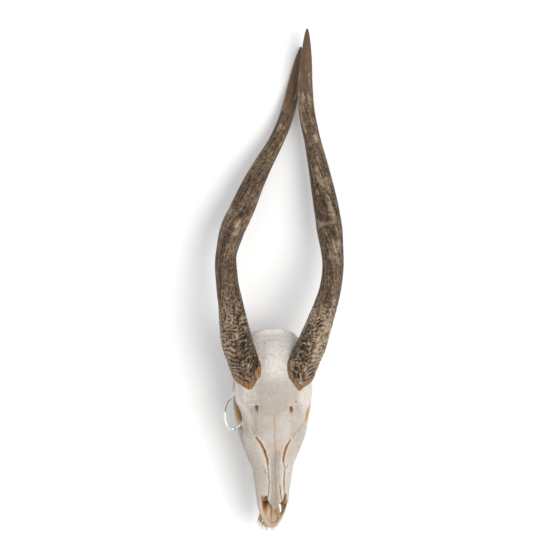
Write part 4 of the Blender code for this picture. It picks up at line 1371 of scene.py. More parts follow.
@dataclass
class Mandible:
    """One half of the lower jaw."""

    side: Side
    voxel: float = 1.5
    swing_degrees: float = -0.6
    pivot_y: float = 35.0

    body: list[tuple[float, ...]] = field(default_factory=lambda: [
        (-269.0, 12.0, 80.0, 68.0, 10.4), (-254.0, 11.0, 79.0, 62.0, 9.4), (-238.0, 9.5, 75.5, 56.0, 8.0),
        (-220.0, 8.5, 71.0, 51.0, 8.4), (-200.0, 6.5, 66.0, 45.0, 15.0), (-178.0, 6.0, 62.0, 38.0, 22.0),
        (-156.0, 7.5, 60.5, 31.0, 28.0), (-130.0, 9.0, 58.5, 22.0, 32.0), (-100.0, 9.5, 56.5, 14.0, 36.0),
        (-70.0, 9.5, 54.5, 8.0, 39.5), (-45.0, 8.5, 53.0, 4.5, 43.0), (-25.0, 7.0, 54.0, 2.0, 47.0),
        (-5.0, 5.5, 60.0, -0.5, 50.0), (15.0, 4.8, 66.0, -1.5, 52.0), (32.0, 4.0, 60.0, 9.0, 52.5)])

    def build(self, finish: bpy.types.Material) -> bpy.types.Object:
        """Makes and dresses the piece.

        Args:
            finish: The material it wears.

        Returns:
            The finished piece.
        """
        side = self.side
        clay = Clay()
        clay.hull([(y, half, top, bottom, side.value * x) for y, half, top, bottom, x in self.body], 0.75, 28)
        clay.bar(side.turn([(51, 8, 40), (52, 20, 56), (52, 32, 68)]), (5, 6, 6))
        clay.ball((side.value * 54, 34, 68.5), (10, 6.5, 4.5))
        clay.bar(side.turn([(51, -6, 50), (53, -6, 70), (54.5, 0, 86), (55, 6, 95)]), (8, 6, 4.4, 3.4))
        clay.bar(side.turn([(51, -18, 5.5), (52, 0, 3.4), (53, 14, 2.6), (53, 26, 8), (53, 33, 22),
                            (52, 34, 40)]), (4.5, 4.5, 4.5, 4.5, 4.0, 4.5))
        piece = clay.fuse(f"mandible_bone_{side.word}", self.voxel, 3)
        drop_crumbs(piece)
        points = get_points(piece.data)
        points[:, 0] = side.value * np.maximum(side.value * points[:, 0], 0.15)
        points[:, 2] = np.maximum(points[:, 2], 0.0)
        normals = get_normals(piece.data)
        relief = 0.25 * noise(points, 31, 14.0) + 0.15 * noise(points, 32, 5.0)
        relief -= 1.6 * np.exp(-(((points[:, 1] + 214.0) / 3.5) ** 2) - ((points[:, 2] - 58.0) / 2.4) ** 2)
        relief *= ramp(points[:, 2], 0.5, 4.0) * ramp(side.value * points[:, 0], 0.5, 3.0)
        points = points + normals * relief[:, None]
        x, y, z = points.T
        gum = np.exp(-((z - (60.0 - 0.03 * (y + 100.0))) / 3.5) ** 2) * (y > -160.0) * (y < -40.0)
        front = ramp(-y, 250.0, 268.0) * ramp(z, 72.0, 79.0)
        write_marks(piece.data, "amber", np.clip(0.5 * gum + 0.6 * front, 0.0, 1.0))
        write_marks(piece.data, "tan", np.clip(0.25 * noise(points, 34, 18.0), 0.0, 1.0))
        write_marks(piece.data, "grey", np.clip(0.2 + 0.4 * noise(points, 33, 25.0), 0.0, 1.0))
        set_points(piece.data, self.swing(points))
        piece.data.shade_smooth()
        piece.data.materials.append(finish)
        return keep(piece, "bone", f"mandible_{side.word}")

    @classmethod
    def swing(cls, points: Array) -> Array:
        """Turns points of the loose jaw a little toward the animal's right.

        Args:
            points: Places, with X, Y and Z on the last axis.

        Returns:
            The turned places.
        """
        angle = math.radians(cls.swing_degrees)
        turned = np.array(points, float)
        x, y = turned[..., 0].copy(), turned[..., 1] - cls.pivot_y
        turned[..., 0] = x * math.cos(angle) - y * math.sin(angle)
        turned[..., 1] = x * math.sin(angle) + y * math.cos(angle) + cls.pivot_y
        return turned


@dataclass
class HornSheath:
    """One horn: a twisted, ridged sheath with a layered lip that sits over the bone."""

    side: Side
    line: list[tuple[float, ...]]
    rim: list[tuple[float, float]]
    columns: int = 112
    rows: int = 560
    keel: float = 0.13
    keel_spread: float = 0.42
    keel_ease: float = 0.02
    twist_per_mm: float = math.radians(90.0) / 240.0
    lip: float = 2.6
    band: float = 7.5

    def build(self, bone: bpy.types.Object, finish: bpy.types.Material) -> bpy.types.Object:
        """Makes, marks and dresses the piece.

        Args:
            bone: The cranium, which the lip follows.
            finish: The horn's material.

        Returns:
            The finished piece.
        """
        self._measure()
        turn = (np.arange(self.columns) / self.columns) * 2.0 * math.pi
        start = self._rim_start(turn)
        share = np.linspace(0.0, 1.0, self.rows)
        length = self.length
        reach = start[None, :] + (length - start[None, :]) * share[:, None]
        turns = np.broadcast_to(turn[None, :], reach.shape)
        from_rim = reach - start[None, :] * (1.0 - ramp(reach, 20.0, 200.0))
        points = self._surface(reach.ravel(), turns.ravel())
        points = self._hug(points, bone, from_rim.ravel())
        relief, marks = self._relief(reach.ravel(), turns.ravel(), from_rim.ravel())
        grid = points.reshape(self.rows, self.columns, 3)
        normals = self._grid_normals(grid).reshape(-1, 3)
        points = points + normals * relief[:, None]
        grid = points.reshape(self.rows, self.columns, 3)
        inner = grid[0] - self._base_normals * (self.lip + 1.4)
        centre = grid[0].mean(axis=0) + self.tangent0 * 12.0
        deep = centre + (inner - centre) * 0.72 + self.tangent0 * 9.0
        stacked = np.concatenate([deep[None], inner[None], grid])
        ends = np.array([centre + self.tangent0 * 9.0, grid[-1].mean(axis=0)])
        piece = new_tube(f"horn_sheath_{self.side.word}", stacked, ends)
        for name, values in marks.items():
            head, tail = values[:self.columns], values[-1:]
            write_marks(piece.data, name, np.concatenate([head, head, values, tail, tail]))
        piece.data.materials.append(finish)
        return keep(piece, "horn", f"horn_{self.side.word}")

    def _measure(self) -> None:
        """Samples the middle line evenly by length."""
        samples = np.array([smooth_line(self.line, index / 900) for index in range(901)])
        steps = np.linalg.norm(np.diff(samples[:, :3], axis=0), axis=1)
        travelled = np.concatenate([[0.0], np.cumsum(steps)])
        self.length = travelled[-1]
        self.travelled = travelled
        self.samples = samples
        self.tangent0 = (samples[8, :3] - samples[0, :3]) / np.linalg.norm(samples[8, :3] - samples[0, :3])

    def _rim_start(self, turn: Array) -> Array:
        """Place of the rim along the horn for each turn around it.

        Args:
            turn: Angles around the horn, in radians.

        Returns:
            Places along the horn, in millimetres.
        """
        table = np.array(self.rim)
        degrees = (np.degrees(turn) + 180.0) % 360.0 - 180.0
        return np.interp(degrees, table[:, 0], table[:, 1], period=360.0)

    def _axis(self, reach: Array) -> tuple[Array, Array, Array]:
        """Middle, half width and half depth at places along the horn, straight before its start.

        Args:
            reach: Places along the horn, in millimetres.

        Returns:
            The middle, the half width and the half depth at each place.
        """
        inside = np.clip(reach, 0.0, self.length)
        middle = np.stack([np.interp(inside, self.travelled, self.samples[:, k]) for k in range(3)], axis=1)
        middle += np.minimum(reach, 0.0)[:, None] * self.tangent0
        half_width = np.interp(inside, self.travelled, self.samples[:, 3])
        half_depth = np.interp(inside, self.travelled, self.samples[:, 4])
        return middle, half_width, half_depth

    def _surface(self, reach: Array, turns: Array) -> Array:
        """Points of the plain horn.

        Args:
            reach: Places along the horn, in millimetres.
            turns: Angles around the horn, in radians.

        Returns:
            One point for each place and angle.
        """
        middle, half_width, half_depth = self._axis(reach)
        ahead = self._axis(reach + 4.0)[0]
        behind = self._axis(reach - 4.0)[0]
        tangent = ahead - behind
        tangent /= np.linalg.norm(tangent, axis=1)[:, None]
        across = np.cross(tangent, (0.0, 0.0, 1.0))
        across /= np.linalg.norm(across, axis=1)[:, None]
        outward = np.cross(across, tangent)
        keel = -self.side.value * self.twist_per_mm * np.clip(reach, 0.0, None)
        angle = turns + keel
        near = (turns + math.pi) % (2.0 * math.pi) - math.pi
        ridge = 1.0 + self.keel * np.exp(-((near / self.keel_spread) ** 2)) - self.keel_ease
        offset = across * (half_width * ridge * np.sin(angle))[:, None]
        offset += outward * (half_depth * ridge * np.cos(angle))[:, None]
        return middle + offset

    def _hug(self, points: Array, bone: bpy.types.Object, from_rim: Array) -> Array:
        """Brings the base of the sheath close over the bone.

        Args:
            points: Points of the plain horn.
            bone: The cranium.
            from_rim: How far each point lies from the rim, along the horn.

        Returns:
            The moved points.
        """
        mesh = bone.data
        tree = BVHTree.FromPolygons([vertex.co for vertex in mesh.vertices],
                                    [tuple(polygon.vertices) for polygon in mesh.polygons])
        near = np.nonzero(from_rim < 62.0)[0]
        placed = Layout.to_frame(points[near])
        gap = np.zeros(len(near))
        normal = np.zeros((len(near), 3))
        for row, place in enumerate(placed):
            hit, facing, _, _ = tree.find_nearest(Vector(place))
            away = Vector(place) - hit
            gap[row] = away.dot(facing) / MM
            normal[row] = facing
        moved = points.copy()
        distance = from_rim[near]
        wanted = self.lip + np.clip(distance, 0.0, None) * 0.03
        weight = 1.0 - ramp(distance, 4.0, 60.0)
        push = np.where(gap < wanted, wanted - gap, (wanted - gap) * weight)
        push = np.where((gap < wanted) & (distance > 30.0), push * (1.0 - ramp(distance, 30.0, 60.0)), push)
        moved[near] += normal * np.clip(push, -9.0, 9.0)[:, None]
        shift = (moved - points).reshape(self.rows, self.columns, 3)
        for _ in range(10):
            shift = 0.5 * shift + 0.25 * (np.roll(shift, 1, axis=1) + np.roll(shift, -1, axis=1))
            shift[1:-1] = 0.5 * shift[1:-1] + 0.25 * (shift[:-2] + shift[2:])
        moved = points + shift.reshape(-1, 3)
        self._base_normals = normal[:self.columns]
        return moved

    def _relief(self, reach: Array, turns: Array, from_rim: Array) -> tuple[Array, dict[str, Array]]:
        """Works out the ridges and grain, and the marks that colour them; the crest mark paints shade in the
        hollows between the ridges and highlights on their tops.

        Args:
            reach: Place of each point along the horn.
            turns: Its turn around the horn.
            from_rim: How far it lies from the rim.

        Returns:
            The height to add at each point, and the marks by name.
        """
        seed = 40 if self.side is Side.LEFT else 60
        round_x = np.cos(turns) * 30.0
        round_y = np.sin(turns) * 30.0
        lay = np.stack([round_x, round_y, reach], axis=1)
        outer = (np.degrees(turns) * self.side.value + 180.0) % 360.0 - 180.0
        flank = ramp(outer, 12.0, 45.0) * ramp(-outer, -150.0, -110.0)
        tidy = flank * (1.0 - ramp(from_rim, 40.0, 75.0))
        tidy = np.maximum(tidy, 0.75 * (1.0 - ramp(from_rim, 8.0, 20.0)))
        base = 1.0 - ramp(from_rim, 100.0, 215.0)
        wander = noise(lay, seed, (12.0, 12.0, 15.0))
        wander += noise(lay, seed + 1, (5.5, 5.5, 8.0)) * 0.62
        wander *= 1.0 - 0.82 * tidy
        phase = from_rim / (6.2 + 0.010 * np.clip(from_rim, 0.0, 200.0)) + wander
        rise = 1.0 - np.abs(2.0 * (phase - np.floor(phase)) - 1.0)
        wave = 2.0 * rise ** 1.5 - 0.9
        broken = ramp(noise(lay, seed + 2, (6.0, 6.0, 6.0)), -0.45, 0.45)
        broken = np.maximum(broken, 0.85 * tidy)
        crumple = noise(lay, seed + 3, (4.2, 4.2, 2.6)) * (1.0 - 0.6 * tidy)
        lumps = noise(lay, seed + 4, (20.0, 20.0, 34.0))
        grain = noise(lay, seed + 5, (2.6, 2.6, 40.0))
        grain += 0.6 * noise(lay, seed + 6, (1.6, 1.6, 20.0))
        far = np.clip(reach / self.length, 0.0, 1.0)
        fade = 1.0 - 0.75 * far
        height = base * (0.80 * wave * broken + 0.55 * crumple)
        height += lumps * 0.55 * fade + grain * (0.16 + 0.14 * (1.0 - base)) * fade
        edge = self.band + 3.2 * noise(lay, seed + 7, (8.0, 8.0, 60.0))
        edge += 1.6 * noise(lay, seed + 9, (3.0, 3.0, 60.0))
        step = ramp(from_rim - edge, -0.5, 0.9)
        height += 1.3 * (step - 1.0) * (from_rim < 30.0)
        height *= ramp(from_rim, -1.0, 2.0) * 0.7 + 0.3
        zones = noise(lay, seed + 10, (17.0, 17.0, 30.0))
        flecks = noise(lay, seed + 11, (2.4, 2.4, 4.5))
        # Painted shade and highlight: the crest mark follows the ridge waves and crumples, darker in their
        # hollows and lighter on their tops, along with the horn's own flecks and zones.
        crest = 0.42 + base * (0.52 * wave * broken + 0.58 * crumple + 0.36 * flecks + 0.38 * zones - 0.09)
        above = 1.0 - base
        rungs = noise(lay, seed + 12, (8.0, 8.0, 2.6))
        crest += above * (0.19 * grain + 0.28 * flecks + 0.14 * zones + 0.19 * rungs - 0.13)
        # Painted light: the left horn's base is lightened against the shade its inner side gets from facing away
        # from the key light.
        crest += (0.15 if self.side is Side.LEFT else 0.0) * base
        patch = ramp(noise(lay, seed + 8, (13.0, 13.0, 22.0)), 0.22, 0.55) * above
        crest += 0.34 * patch * ramp(far, 0.25, 0.45) * (1.0 - ramp(far, 0.88, 0.97))
        crest += 0.22 * flank * base * ramp(from_rim, 18.0, 60.0)
        # Painted shade: the inner side of each horn's base, toward the gap between the horns, is darkened.
        inner_shade = ramp(-outer, 10.0, 40.0) * ramp(outer, -150.0, -110.0)
        inner_shade *= 1.0 - ramp(from_rim, 25.0, 70.0)
        crest -= (0.12 if self.side is Side.LEFT else 0.28) * base * inner_shade
        crack = np.abs(outer + 18.0 - 3.0 * noise(lay, seed + 13, 9.0))
        notch = np.exp(-((crack / 3.0) ** 2)) * (from_rim < 26.0)
        crest -= 0.6 * notch
        step = np.maximum(step, 0.9 * notch)
        marks = {"crest": crest, "tip": 0.85 * ramp(far, 0.70, 0.92), "lip": 1.0 - step,
                 "lay": lay * MM}
        return height, marks

    @staticmethod
    def _grid_normals(grid: Array) -> Array:
        """Outward normals of a grid of rings.

        Args:
            grid: Rings of points, as rows.

        Returns:
            One normal for each point.
        """
        around = np.roll(grid, -1, axis=1) - np.roll(grid, 1, axis=1)
        along = np.gradient(grid, axis=0)
        normal = np.cross(along, around)
        normal /= np.maximum(np.linalg.norm(normal, axis=2), 1e-9)[:, :, None]
        centre = grid.mean(axis=1, keepdims=True)
        sign = np.sign(np.median(np.sum(normal * (grid - centre), axis=2)))
        return normal * sign


LEFT_HORN = [
    (49.0, 6.0, 136.0, 32.0, 34.0), (57.5, 30.0, 146.0, 34.0, 36.5), (68.0, 58.0, 146.0, 31.5, 34.5),
    (85.5, 104.0, 137.0, 27.0, 30.0), (101.5, 146.0, 127.0, 24.0, 27.0), (115.5, 188.0, 116.0, 21.0, 25.0),
    (122.0, 232.0, 104.0, 20.5, 24.0), (120.7, 268.0, 95.0, 22.0, 23.0), (115.5, 312.0, 85.0, 25.5, 21.5),
    (106.2, 370.0, 72.0, 24.5, 20.5), (95.7, 428.0, 61.0, 21.0, 19.0), (84.0, 484.0, 53.0, 17.0, 16.5),
    (72.9, 540.0, 48.0, 16.7, 14.5), (69.6, 590.0, 46.0, 15.3, 12.5), (70.6, 635.0, 46.5, 12.4, 10.5),
    (72.0, 672.0, 47.5, 8.6, 8.0), (72.8, 698.0, 48.5, 4.8, 4.6), (73.2, 710.0, 49.0, 1.6, 1.6)]
RIGHT_HORN = [
    (-47.0, 6.0, 136.0, 32.0, 34.0), (-55.5, 30.0, 146.0, 34.0, 36.5), (-66.5, 60.0, 145.0, 33.0, 35.0),
    (-75.5, 104.0, 136.0, 29.5, 30.5), (-82.8, 150.0, 124.0, 25.0, 27.0), (-90.0, 192.0, 112.0, 22.0, 24.5),
    (-93.4, 236.0, 100.0, 20.5, 23.0), (-90.8, 264.0, 92.0, 20.5, 22.5), (-78.1, 306.0, 80.0, 24.5, 21.5),
    (-59.5, 344.0, 70.0, 25.0, 20.5), (-35.3, 398.0, 57.0, 22.0, 19.0), (-12.7, 441.0, 46.0, 18.5, 17.0),
    (9.9, 481.0, 36.0, 15.5, 15.0), (29.0, 524.0, 25.5, 14.8, 13.5), (42.8, 570.0, 16.5, 14.1, 11.5),
    (52.0, 612.0, 10.6, 11.2, 9.6), (58.6, 645.0, 7.6, 8.4, 7.4), (62.5, 668.0, 6.6, 4.4, 4.2),
    (64.0, 678.0, 6.6, 1.5, 1.5)]

# Rim of each sheath: degrees around the horn from its keel, toward the animal's left, and its place along it
LEFT_RIM = [(-170, 46), (-120, 42), (-82, 35), (-66, 28), (-55, 21), (-37, 13), (-16, 9), (2, 1.6), (12, -2.5),
            (26, 5.5), (54, 12), (80, 20), (120, 34), (160, 44)]
RIGHT_RIM = [(-160, 44), (-120, 36), (-95, 26), (-70, 17), (-32, 7.5), (-12, 2.5), (-4, 1.5), (8, 6), (20, 12),
             (43, 15.5), (54, 20.5), (64, 27), (81, 36), (120, 43), (165, 46)]


# Length along the row and width of each cheek tooth, from the front
UPPER_TEETH = [(12.5, 12.0), (13.5, 14.0), (13.5, 15.5), (17.5, 17.0), (20.0, 18.0), (20.5, 17.0)]
LOWER_TEETH = [(9.5, 7.0), (12.5, 8.5), (14.0, 9.5), (17.0, 10.5), (20.0, 11.0), (26.0, 10.5)]


@dataclass
class CheekRow:
    """One row of cheek teeth, three premolars and three molars."""

    side: Side
    upper: bool
    sizes: list[tuple[float, float]]
    front_y: float = -152.0
    rear_y: float = -50.0
    bite_z: float = 62.0
    bite_slope: float = 0.07
    clear: float = 0.5
    space: float = 0.5
    root: float = 18.9

    def build(self, finish: bpy.types.Material) -> None:
        """Makes and dresses the six teeth.

        Args:
            finish: The material it wears.
        """
        y = self.front_y
        for number, (length, width) in enumerate(self.sizes, 1):
            y += 0.5 * length
            up = -1.0 if self.upper else 1.0
            height = self.bite_z + self.bite_slope * (self.rear_y - y) - up * self.clear
            x = self._line(y) * self.side.value
            part = "upper" if self.upper else "lower"
            piece = self._tooth(f"{part}_molar_{self.side.word}_{number}", (x, y, height), length, width,
                                1 if number < 4 else 2, up)
            piece.data.materials.append(finish)
            keep(piece, "enamel", f"{part}_tooth_{self.side.word}_{number}")
            y += 0.5 * length + self.space

    def _line(self, y: float) -> float:
        """Distance of the row from the middle.

        Args:
            y: Place along.

        Returns:
            The distance, in millimetres.
        """
        if self.upper:
            return 33.0 + 9.0 * math.sin(math.pi * 0.5 * (y - self.front_y) / 100.0)
        return 29.5 + 0.125 * (y - self.front_y)

    def _tooth(self, name: str, place: Point, length: float, width: float, lobes: int,
               up: float) -> bpy.types.Object:
        """One tooth, with crescents on its biting face and ribs down its sides.

        Args:
            name: The piece's name.
            place: Middle of its biting face.
            length: Its length along the row.
            width: Its width.
            lobes: One for a premolar, two for a molar.
            up: 1 for a lower tooth, -1 for an upper one.

        Returns:
            The tooth.
        """
        sides, rings = 36, []
        angle = np.arange(sides) / sides * 2.0 * math.pi
        cosine, sine = np.cos(angle), np.sin(angle)
        along = 0.5 * length * np.sign(cosine) * np.abs(cosine) ** 0.62
        pinch = 1.0 - 0.16 * (lobes > 1) * np.exp(-((along / (0.16 * length)) ** 2))
        across = 0.5 * width * pinch * np.sign(sine) * np.abs(sine) ** 0.62
        rib = 1.0 - 0.045 * (1.0 + np.cos(2.0 * math.pi * lobes * 2.0 * along / length))
        levels = ((self.root, 0.80), (14.0, 0.93), (9.0, 0.97), (5.0, 0.975), (2.4, 0.96), (1.0, 0.93))
        for depth, scale in levels:
            rings.append(np.stack([across * scale * rib, along * scale, np.full(sides, -depth)], axis=1))
        for inset in (0.90, 0.80, 0.66, 0.50, 0.34, 0.18):
            x = across * inset
            y = along * inset
            crescent = np.abs(np.sin(math.pi * lobes * (y / length + 0.5)))
            ridge = np.cos(2.0 * math.pi * x / (0.50 * width)) * crescent
            z = -1.3 + 1.1 * ridge - 0.5 * (1.0 - crescent)
            rings.append(np.stack([x, y, np.minimum(z, -0.05)], axis=1))
        depth = np.append(np.array(rings)[:, :, 2], [-self.root, -1.6])
        biting = np.arange(len(depth)) >= len(levels) * sides
        stain = 0.15 + 0.75 * ramp(-depth, 3.0, 8.5) + 0.5 * ramp(-depth, 1.2, 2.0) * biting
        flip = np.array((1.0, 1.0, up))
        tube = np.array(rings) * flip + np.array(place)
        ends = np.array([(0.0, 0.0, -self.root), (0.0, 0.0, -1.6)]) * flip + np.array(place)
        if not self.upper:
            tube, ends = Mandible.swing(tube), Mandible.swing(ends)
        piece = new_tube(name, tube, ends)
        write_marks(piece.data, "stain", np.clip(stain, 0.0, 1.0))
        return piece


@dataclass
class Incisors:
    """The four front teeth of one half of the lower jaw, spread like a fan."""

    side: Side
    root_z: float = 73.0
    tip_z: float = 84.0
    right_teeth: list[tuple[float, float, float, float, float]] = field(default_factory=lambda: [
        (4.6, -262.0, 5.9, -294.0, 9.6), (9.4, -262.0, 14.4, -290.8, 8.4),
        (14.0, -260.5, 20.6, -286.0, 7.2), (18.0, -258.0, 24.4, -280.5, 6.4)])
    left_teeth: list[tuple[float, float, float, float, float]] = field(default_factory=lambda: [
        (4.6, -262.0, 5.9, -293.8, 9.4), (9.4, -262.0, 13.6, -286.0, 6.8),
        (14.0, -260.5, 18.4, -279.0, 6.0), (18.0, -258.0, 21.2, -272.0, 5.4)])

    def build(self, finish: bpy.types.Material) -> None:
        """Makes and dresses the teeth.

        Args:
            finish: The material it wears.
        """
        teeth = self.left_teeth if self.side is Side.LEFT else self.right_teeth
        for number, (root_x, root_y, tip_x, tip_y, width) in enumerate(teeth, 1):
            root = Vector((self.side.value * root_x, root_y, self.root_z))
            tip = Vector((self.side.value * tip_x, tip_y, self.tip_z))
            along = (tip - root).normalized()
            across = along.cross(Vector((0.0, 0.0, 1.0))).normalized()
            through = across.cross(along)
            shares = np.linspace(0.0, 1.0, 18)
            half_width = np.interp(shares, (0.0, 0.45, 0.62, 0.80, 0.93, 1.0),
                                   (1.5, 2.0, 0.36 * width, 0.46 * width, 0.44 * width, 0.36 * width))
            half_depth = np.interp(shares, (0.0, 0.45, 0.78, 0.94, 1.0), (1.7, 2.3, 1.9, 0.9, 0.3))
            sides = 20
            angle = np.arange(sides) / sides * 2.0 * math.pi
            rings = []
            for share, wide, deep in zip(shares, half_width, half_depth):
                centre = root + along * ((tip - root).length * share)
                offset = np.outer(np.cos(angle) * wide, across) + np.outer(np.sin(angle) * deep, through)
                rings.append(np.array(centre) + offset)
            stain = np.concatenate([np.repeat(1.0 - ramp(shares, 0.66, 0.84), sides), [1.0, 0.0]])
            piece = new_tube(f"front_tooth_{self.side.word}_{number}", Mandible.swing(np.array(rings)),
                             Mandible.swing(np.array([root, tip])))
            write_marks(piece.data, "stain", np.clip(0.1 + 0.9 * stain, 0.0, 1.0))
            piece.data.materials.append(finish)
            keep(piece, "enamel", f"incisor_{self.side.word}_{number}")


@dataclass
class StripTag:
    """A metal strip looped through the right eye socket, with the clasp that holds its ends."""

    width: float = 8.6
    thickness: float = 1.1
    clasp_width: float = 10.0
    clasp_thickness: float = 6.6
    clasp_sides: int = 24
    steps: int = 120
    lean: float = 0.72
    path: list[Point] = field(default_factory=lambda: [
        (-75.0, -89.0, 111.5), (-71.2, -87.0, 114.0), (-66.5, -83.0, 117.0), (-60.5, -76.0, 120.5),
        (-56.0, -64.0, 121.0), (-54.0, -50.0, 119.0), (-54.0, -36.0, 116.5), (-56.0, -23.0, 114.0),
        (-60.5, -13.8, 111.5), (-66.5, -11.0, 110.5), (-72.3, -13.2, 110.2), (-76.2, -20.5, 110.0),
        (-82.5, -28.5, 109.4), (-90.0, -38.5, 108.6), (-94.0, -49.0, 107.5), (-94.6, -60.0, 106.0),
        (-93.4, -71.5, 105.0), (-90.4, -81.5, 105.0), (-85.6, -89.5, 106.5)])

    def build(self, finish: bpy.types.Material) -> None:
        """Makes and dresses the strip and its clasp.

        Args:
            finish: The material it wears.
        """
        points = np.array([smooth_line(self.path, index / self.steps) for index in range(self.steps + 1)])
        centre = points.mean(axis=0)
        axis = np.sum(np.cross(np.roll(points, 1, axis=0) - centre, points - centre), axis=0)
        axis = axis / np.linalg.norm(axis) + np.array((self.lean, 0.0, 0.0))
        axis /= np.linalg.norm(axis)
        band = self._strip("strip_band", points, axis, finish)
        place = get_points(band.data)
        # Painted shade: where the loop runs farthest to the animal's right, the strip is coloured dark brown for
        # its shaded inner face.
        worn = ramp(place[:, 1], -58.0, -52.0) * ramp(-place[:, 1], 24.0, 32.0) * (place[:, 0] < -72.0)
        write_marks(band.data, "worn", 0.9 * worn * ramp(place[:, 2], 107.0, 109.0))
        keep(band, "tag_metal", "tag_band")
        ends = [points[-1], points[0]]
        along = (ends[1] - ends[0]) / np.linalg.norm(ends[1] - ends[0])
        reach = float(np.linalg.norm(ends[1] - ends[0]))
        shares = (-0.06, 0.0, 0.12, 0.5, 0.88, 1.0, 1.06)
        knots = np.array([ends[0] + along * (reach * share) for share in shares])
        flat = axis - along * (axis @ along)
        flat /= np.linalg.norm(flat)
        thick = np.cross(along, flat)
        rings = []
        for knot, scale in zip(knots, (0.62, 0.86, 1.0, 1.0, 1.0, 0.86, 0.62)):
            ring = []
            for corner in range(self.clasp_sides):
                angle = 2.0 * math.pi * corner / self.clasp_sides
                wide = math.copysign(abs(math.cos(angle)) ** 0.45, math.cos(angle))
                deep = math.copysign(abs(math.sin(angle)) ** 0.45, math.sin(angle))
                offset = flat * (wide * self.clasp_width) + thick * (deep * self.clasp_thickness)
                ring.append(knot + 0.5 * scale * offset)
            rings.append(ring)
        clasp = new_tube("strip_clasp", np.array(rings))
        clasp.data.materials.append(finish)
        keep(clasp, "tag_metal", "tag_clasp")

    def _strip(self, name: str, points: Array, axis: Array, finish: bpy.types.Material) -> bpy.types.Object:
        """Sweeps the strip along its path with a node tree.

        Args:
            name: The piece's name.
            points: The path.
            axis: The direction that the strip's width follows.
            finish: Its material.

        Returns:
            The strip as a plain mesh.
        """
        tree = bpy.data.node_groups.new("strip_along_path", "GeometryNodeTree")
        tree.interface.new_socket("Geometry", in_out="INPUT", socket_type="NodeSocketGeometry")
        sizes = {"Width": self.width * MM, "Thickness": self.thickness * MM}
        for label in sizes:
            tree.interface.new_socket(label, in_out="INPUT", socket_type="NodeSocketFloat")
        tree.interface.new_socket("Geometry", in_out="OUTPUT", socket_type="NodeSocketGeometry")
        source = tree.nodes.new("NodeGroupInput")
        result = tree.nodes.new("NodeGroupOutput")
        to_curve = tree.nodes.new("GeometryNodeMeshToCurve")
        normal = tree.nodes.new("GeometryNodeSetCurveNormal")
        normal.mode = "FREE"
        normal.inputs["Normal"].default_value = tuple(axis)
        profile = tree.nodes.new("GeometryNodeCurvePrimitiveQuadrilateral")
        corner = tree.nodes.new("GeometryNodeFilletCurve")
        corner.mode = "POLY"
        corner.inputs["Count"].default_value = 3
        corner.inputs["Radius"].default_value = 0.4 * self.thickness * MM
        sweep = tree.nodes.new("GeometryNodeCurveToMesh")
        sweep.inputs["Fill Caps"].default_value = True
        realize = tree.nodes.new("GeometryNodeRealizeInstances")
        paint = tree.nodes.new("GeometryNodeSetMaterial")
        paint.inputs["Material"].default_value = finish
        link = tree.links.new
        link(source.outputs["Geometry"], to_curve.inputs["Mesh"])
        link(to_curve.outputs["Curve"], normal.inputs["Curve"])
        link(source.outputs["Width"], profile.inputs["Width"])
        link(source.outputs["Thickness"], profile.inputs["Height"])
        link(profile.outputs["Curve"], corner.inputs["Curve"])
        link(normal.outputs["Curve"], sweep.inputs["Curve"])
        link(corner.outputs["Curve"], sweep.inputs["Profile Curve"])
        link(sweep.outputs["Mesh"], realize.inputs["Geometry"])
        link(realize.outputs["Geometry"], paint.inputs["Geometry"])
        link(paint.outputs["Geometry"], result.inputs["Geometry"])
        mesh = bpy.data.meshes.new(name)
        edges = [(index, index + 1) for index in range(len(points) - 1)]
        mesh.from_pydata(Layout.to_frame(points).tolist(), edges, [])
        piece = bpy.data.objects.new(name, mesh)
        bpy.context.scene.collection.objects.link(piece)
        modifier = piece.modifiers.new("strip", "NODES")
        modifier.node_group = tree
        for item in tree.interface.items_tree:
            if item.item_type == "SOCKET" and item.in_out == "INPUT" and item.name in sizes:
                modifier[item.identifier] = sizes[item.name]
        bake(piece)
        form = bmesh.new()
        form.from_mesh(piece.data)
        bmesh.ops.remove_doubles(form, verts=form.verts, dist=0.00001)
        bmesh.ops.recalc_face_normals(form, faces=form.faces)
        form.to_mesh(piece.data)
        form.free()
        return piece


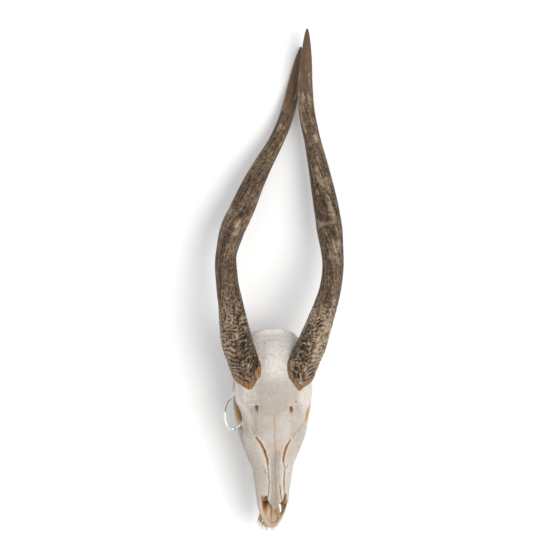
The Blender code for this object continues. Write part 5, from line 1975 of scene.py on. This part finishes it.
@dataclass
class Studio:
    """A pale floor, soft light from the right and the photograph's point of view."""

    aim: Point = (-0.0032, -0.00325, 0.169)
    tilt_degrees: float = 3.5
    distance: float = 4.0
    lens: float = 131.9
    world: float = 0.87
    key_watts: float = 56.0
    key_size: float = 1.9
    key_place: Point = (1.25, -0.50, 2.8)
    floor_half: float = 30.0
    floor_glow: float = 0.01

    def build(self) -> None:
        """Adds the floor, the lights and the camera."""
        self._floor()
        self._light()
        self._camera()

    def _floor(self) -> None:
        """A wide matte floor."""
        mesh = bpy.data.meshes.new("floor")
        half = self.floor_half
        corners = [(-half, -half, 0.0), (half, -half, 0.0), (half, half, 0.0), (-half, half, 0.0)]
        mesh.from_pydata(corners, [], [(0, 1, 2, 3)])
        tree = Tree("studio_floor")
        shade = tree.grade(tree.grain(tree.object, 3.0, 2.0), 0.3, 0.7)
        tree.join(tree.blend(shade, (0.90, 0.90, 0.90), (0.91, 0.91, 0.91)), tree.shader.inputs["Base Color"])
        tree.shader.inputs["Roughness"].default_value = 0.9
        tree.shader.inputs["Specular IOR Level"].default_value = 0.1
        tree.shader.inputs["Emission Color"].default_value = (1.0, 1.0, 1.0, 1.0)
        tree.shader.inputs["Emission Strength"].default_value = self.floor_glow
        mesh.materials.append(tree.material)
        floor = bpy.data.objects.new("floor", mesh)
        bpy.context.scene.collection.objects.link(floor)

    def _light(self) -> None:
        """An even sky and one large soft light."""
        world = bpy.data.worlds.new("studio_sky")
        world.use_nodes = True
        background = world.node_tree.nodes["Background"]
        background.inputs["Color"].default_value = (0.98, 0.99, 1.0, 1.0)
        background.inputs["Strength"].default_value = self.world
        bpy.context.scene.world = world
        lamp = bpy.data.lights.new("key", "AREA")
        lamp.shape = "DISK"
        lamp.size = self.key_size
        lamp.energy = self.key_watts
        lamp.color = (1.0, 0.985, 0.96)
        key = bpy.data.objects.new("key", lamp)
        key.location = self.key_place
        down = Vector((0.0, 0.0, 0.1)) - Vector(self.key_place)
        key.rotation_euler = down.to_track_quat("-Z", "Y").to_euler()
        bpy.context.scene.collection.objects.link(key)

    def _camera(self) -> None:
        """A long lens straight above, leaning a little to the animal's right."""
        lens = bpy.data.cameras.new("camera")
        lens.lens = self.lens
        lens.sensor_width = 36.0
        lens.clip_end = 100.0
        camera = bpy.data.objects.new("camera", lens)
        lean = math.radians(self.tilt_degrees)
        back = Vector((-math.sin(lean), 0.0, math.cos(lean)))
        right = Vector((math.cos(lean), 0.0, math.sin(lean)))
        upward = Vector((0.0, 1.0, 0.0))
        turn = Matrix((right, upward, back)).transposed()
        camera.matrix_world = Matrix.Translation(Vector(self.aim) + back * self.distance) @ turn.to_4x4()
        bpy.context.scene.collection.objects.link(camera)
        bpy.context.scene.camera = camera
        view = bpy.context.scene.view_settings
        view.view_transform = "Standard"


def main() -> None:
    """Builds every piece in order."""
    logging.basicConfig(level=logging.INFO, format="%(name)s: %(message)s")
    bone = BoneFinish().build()
    horn = HornFinish().build()
    enamel = EnamelFinish().build()
    metal = TagFinish().build()
    Studio().build()
    cranium = Cranium().build(bone)
    HornSheath(Side.LEFT, LEFT_HORN, LEFT_RIM, band=8.5).build(cranium, horn)
    HornSheath(Side.RIGHT, RIGHT_HORN, RIGHT_RIM, band=11.0).build(cranium, horn)
    for side in Side:
        Mandible(side).build(bone)
        CheekRow(side, True, UPPER_TEETH).build(enamel)
        CheekRow(side, False, LOWER_TEETH).build(enamel)
        Incisors(side).build(enamel)
    StripTag().build(metal)


if __name__ == "__main__":
    main()
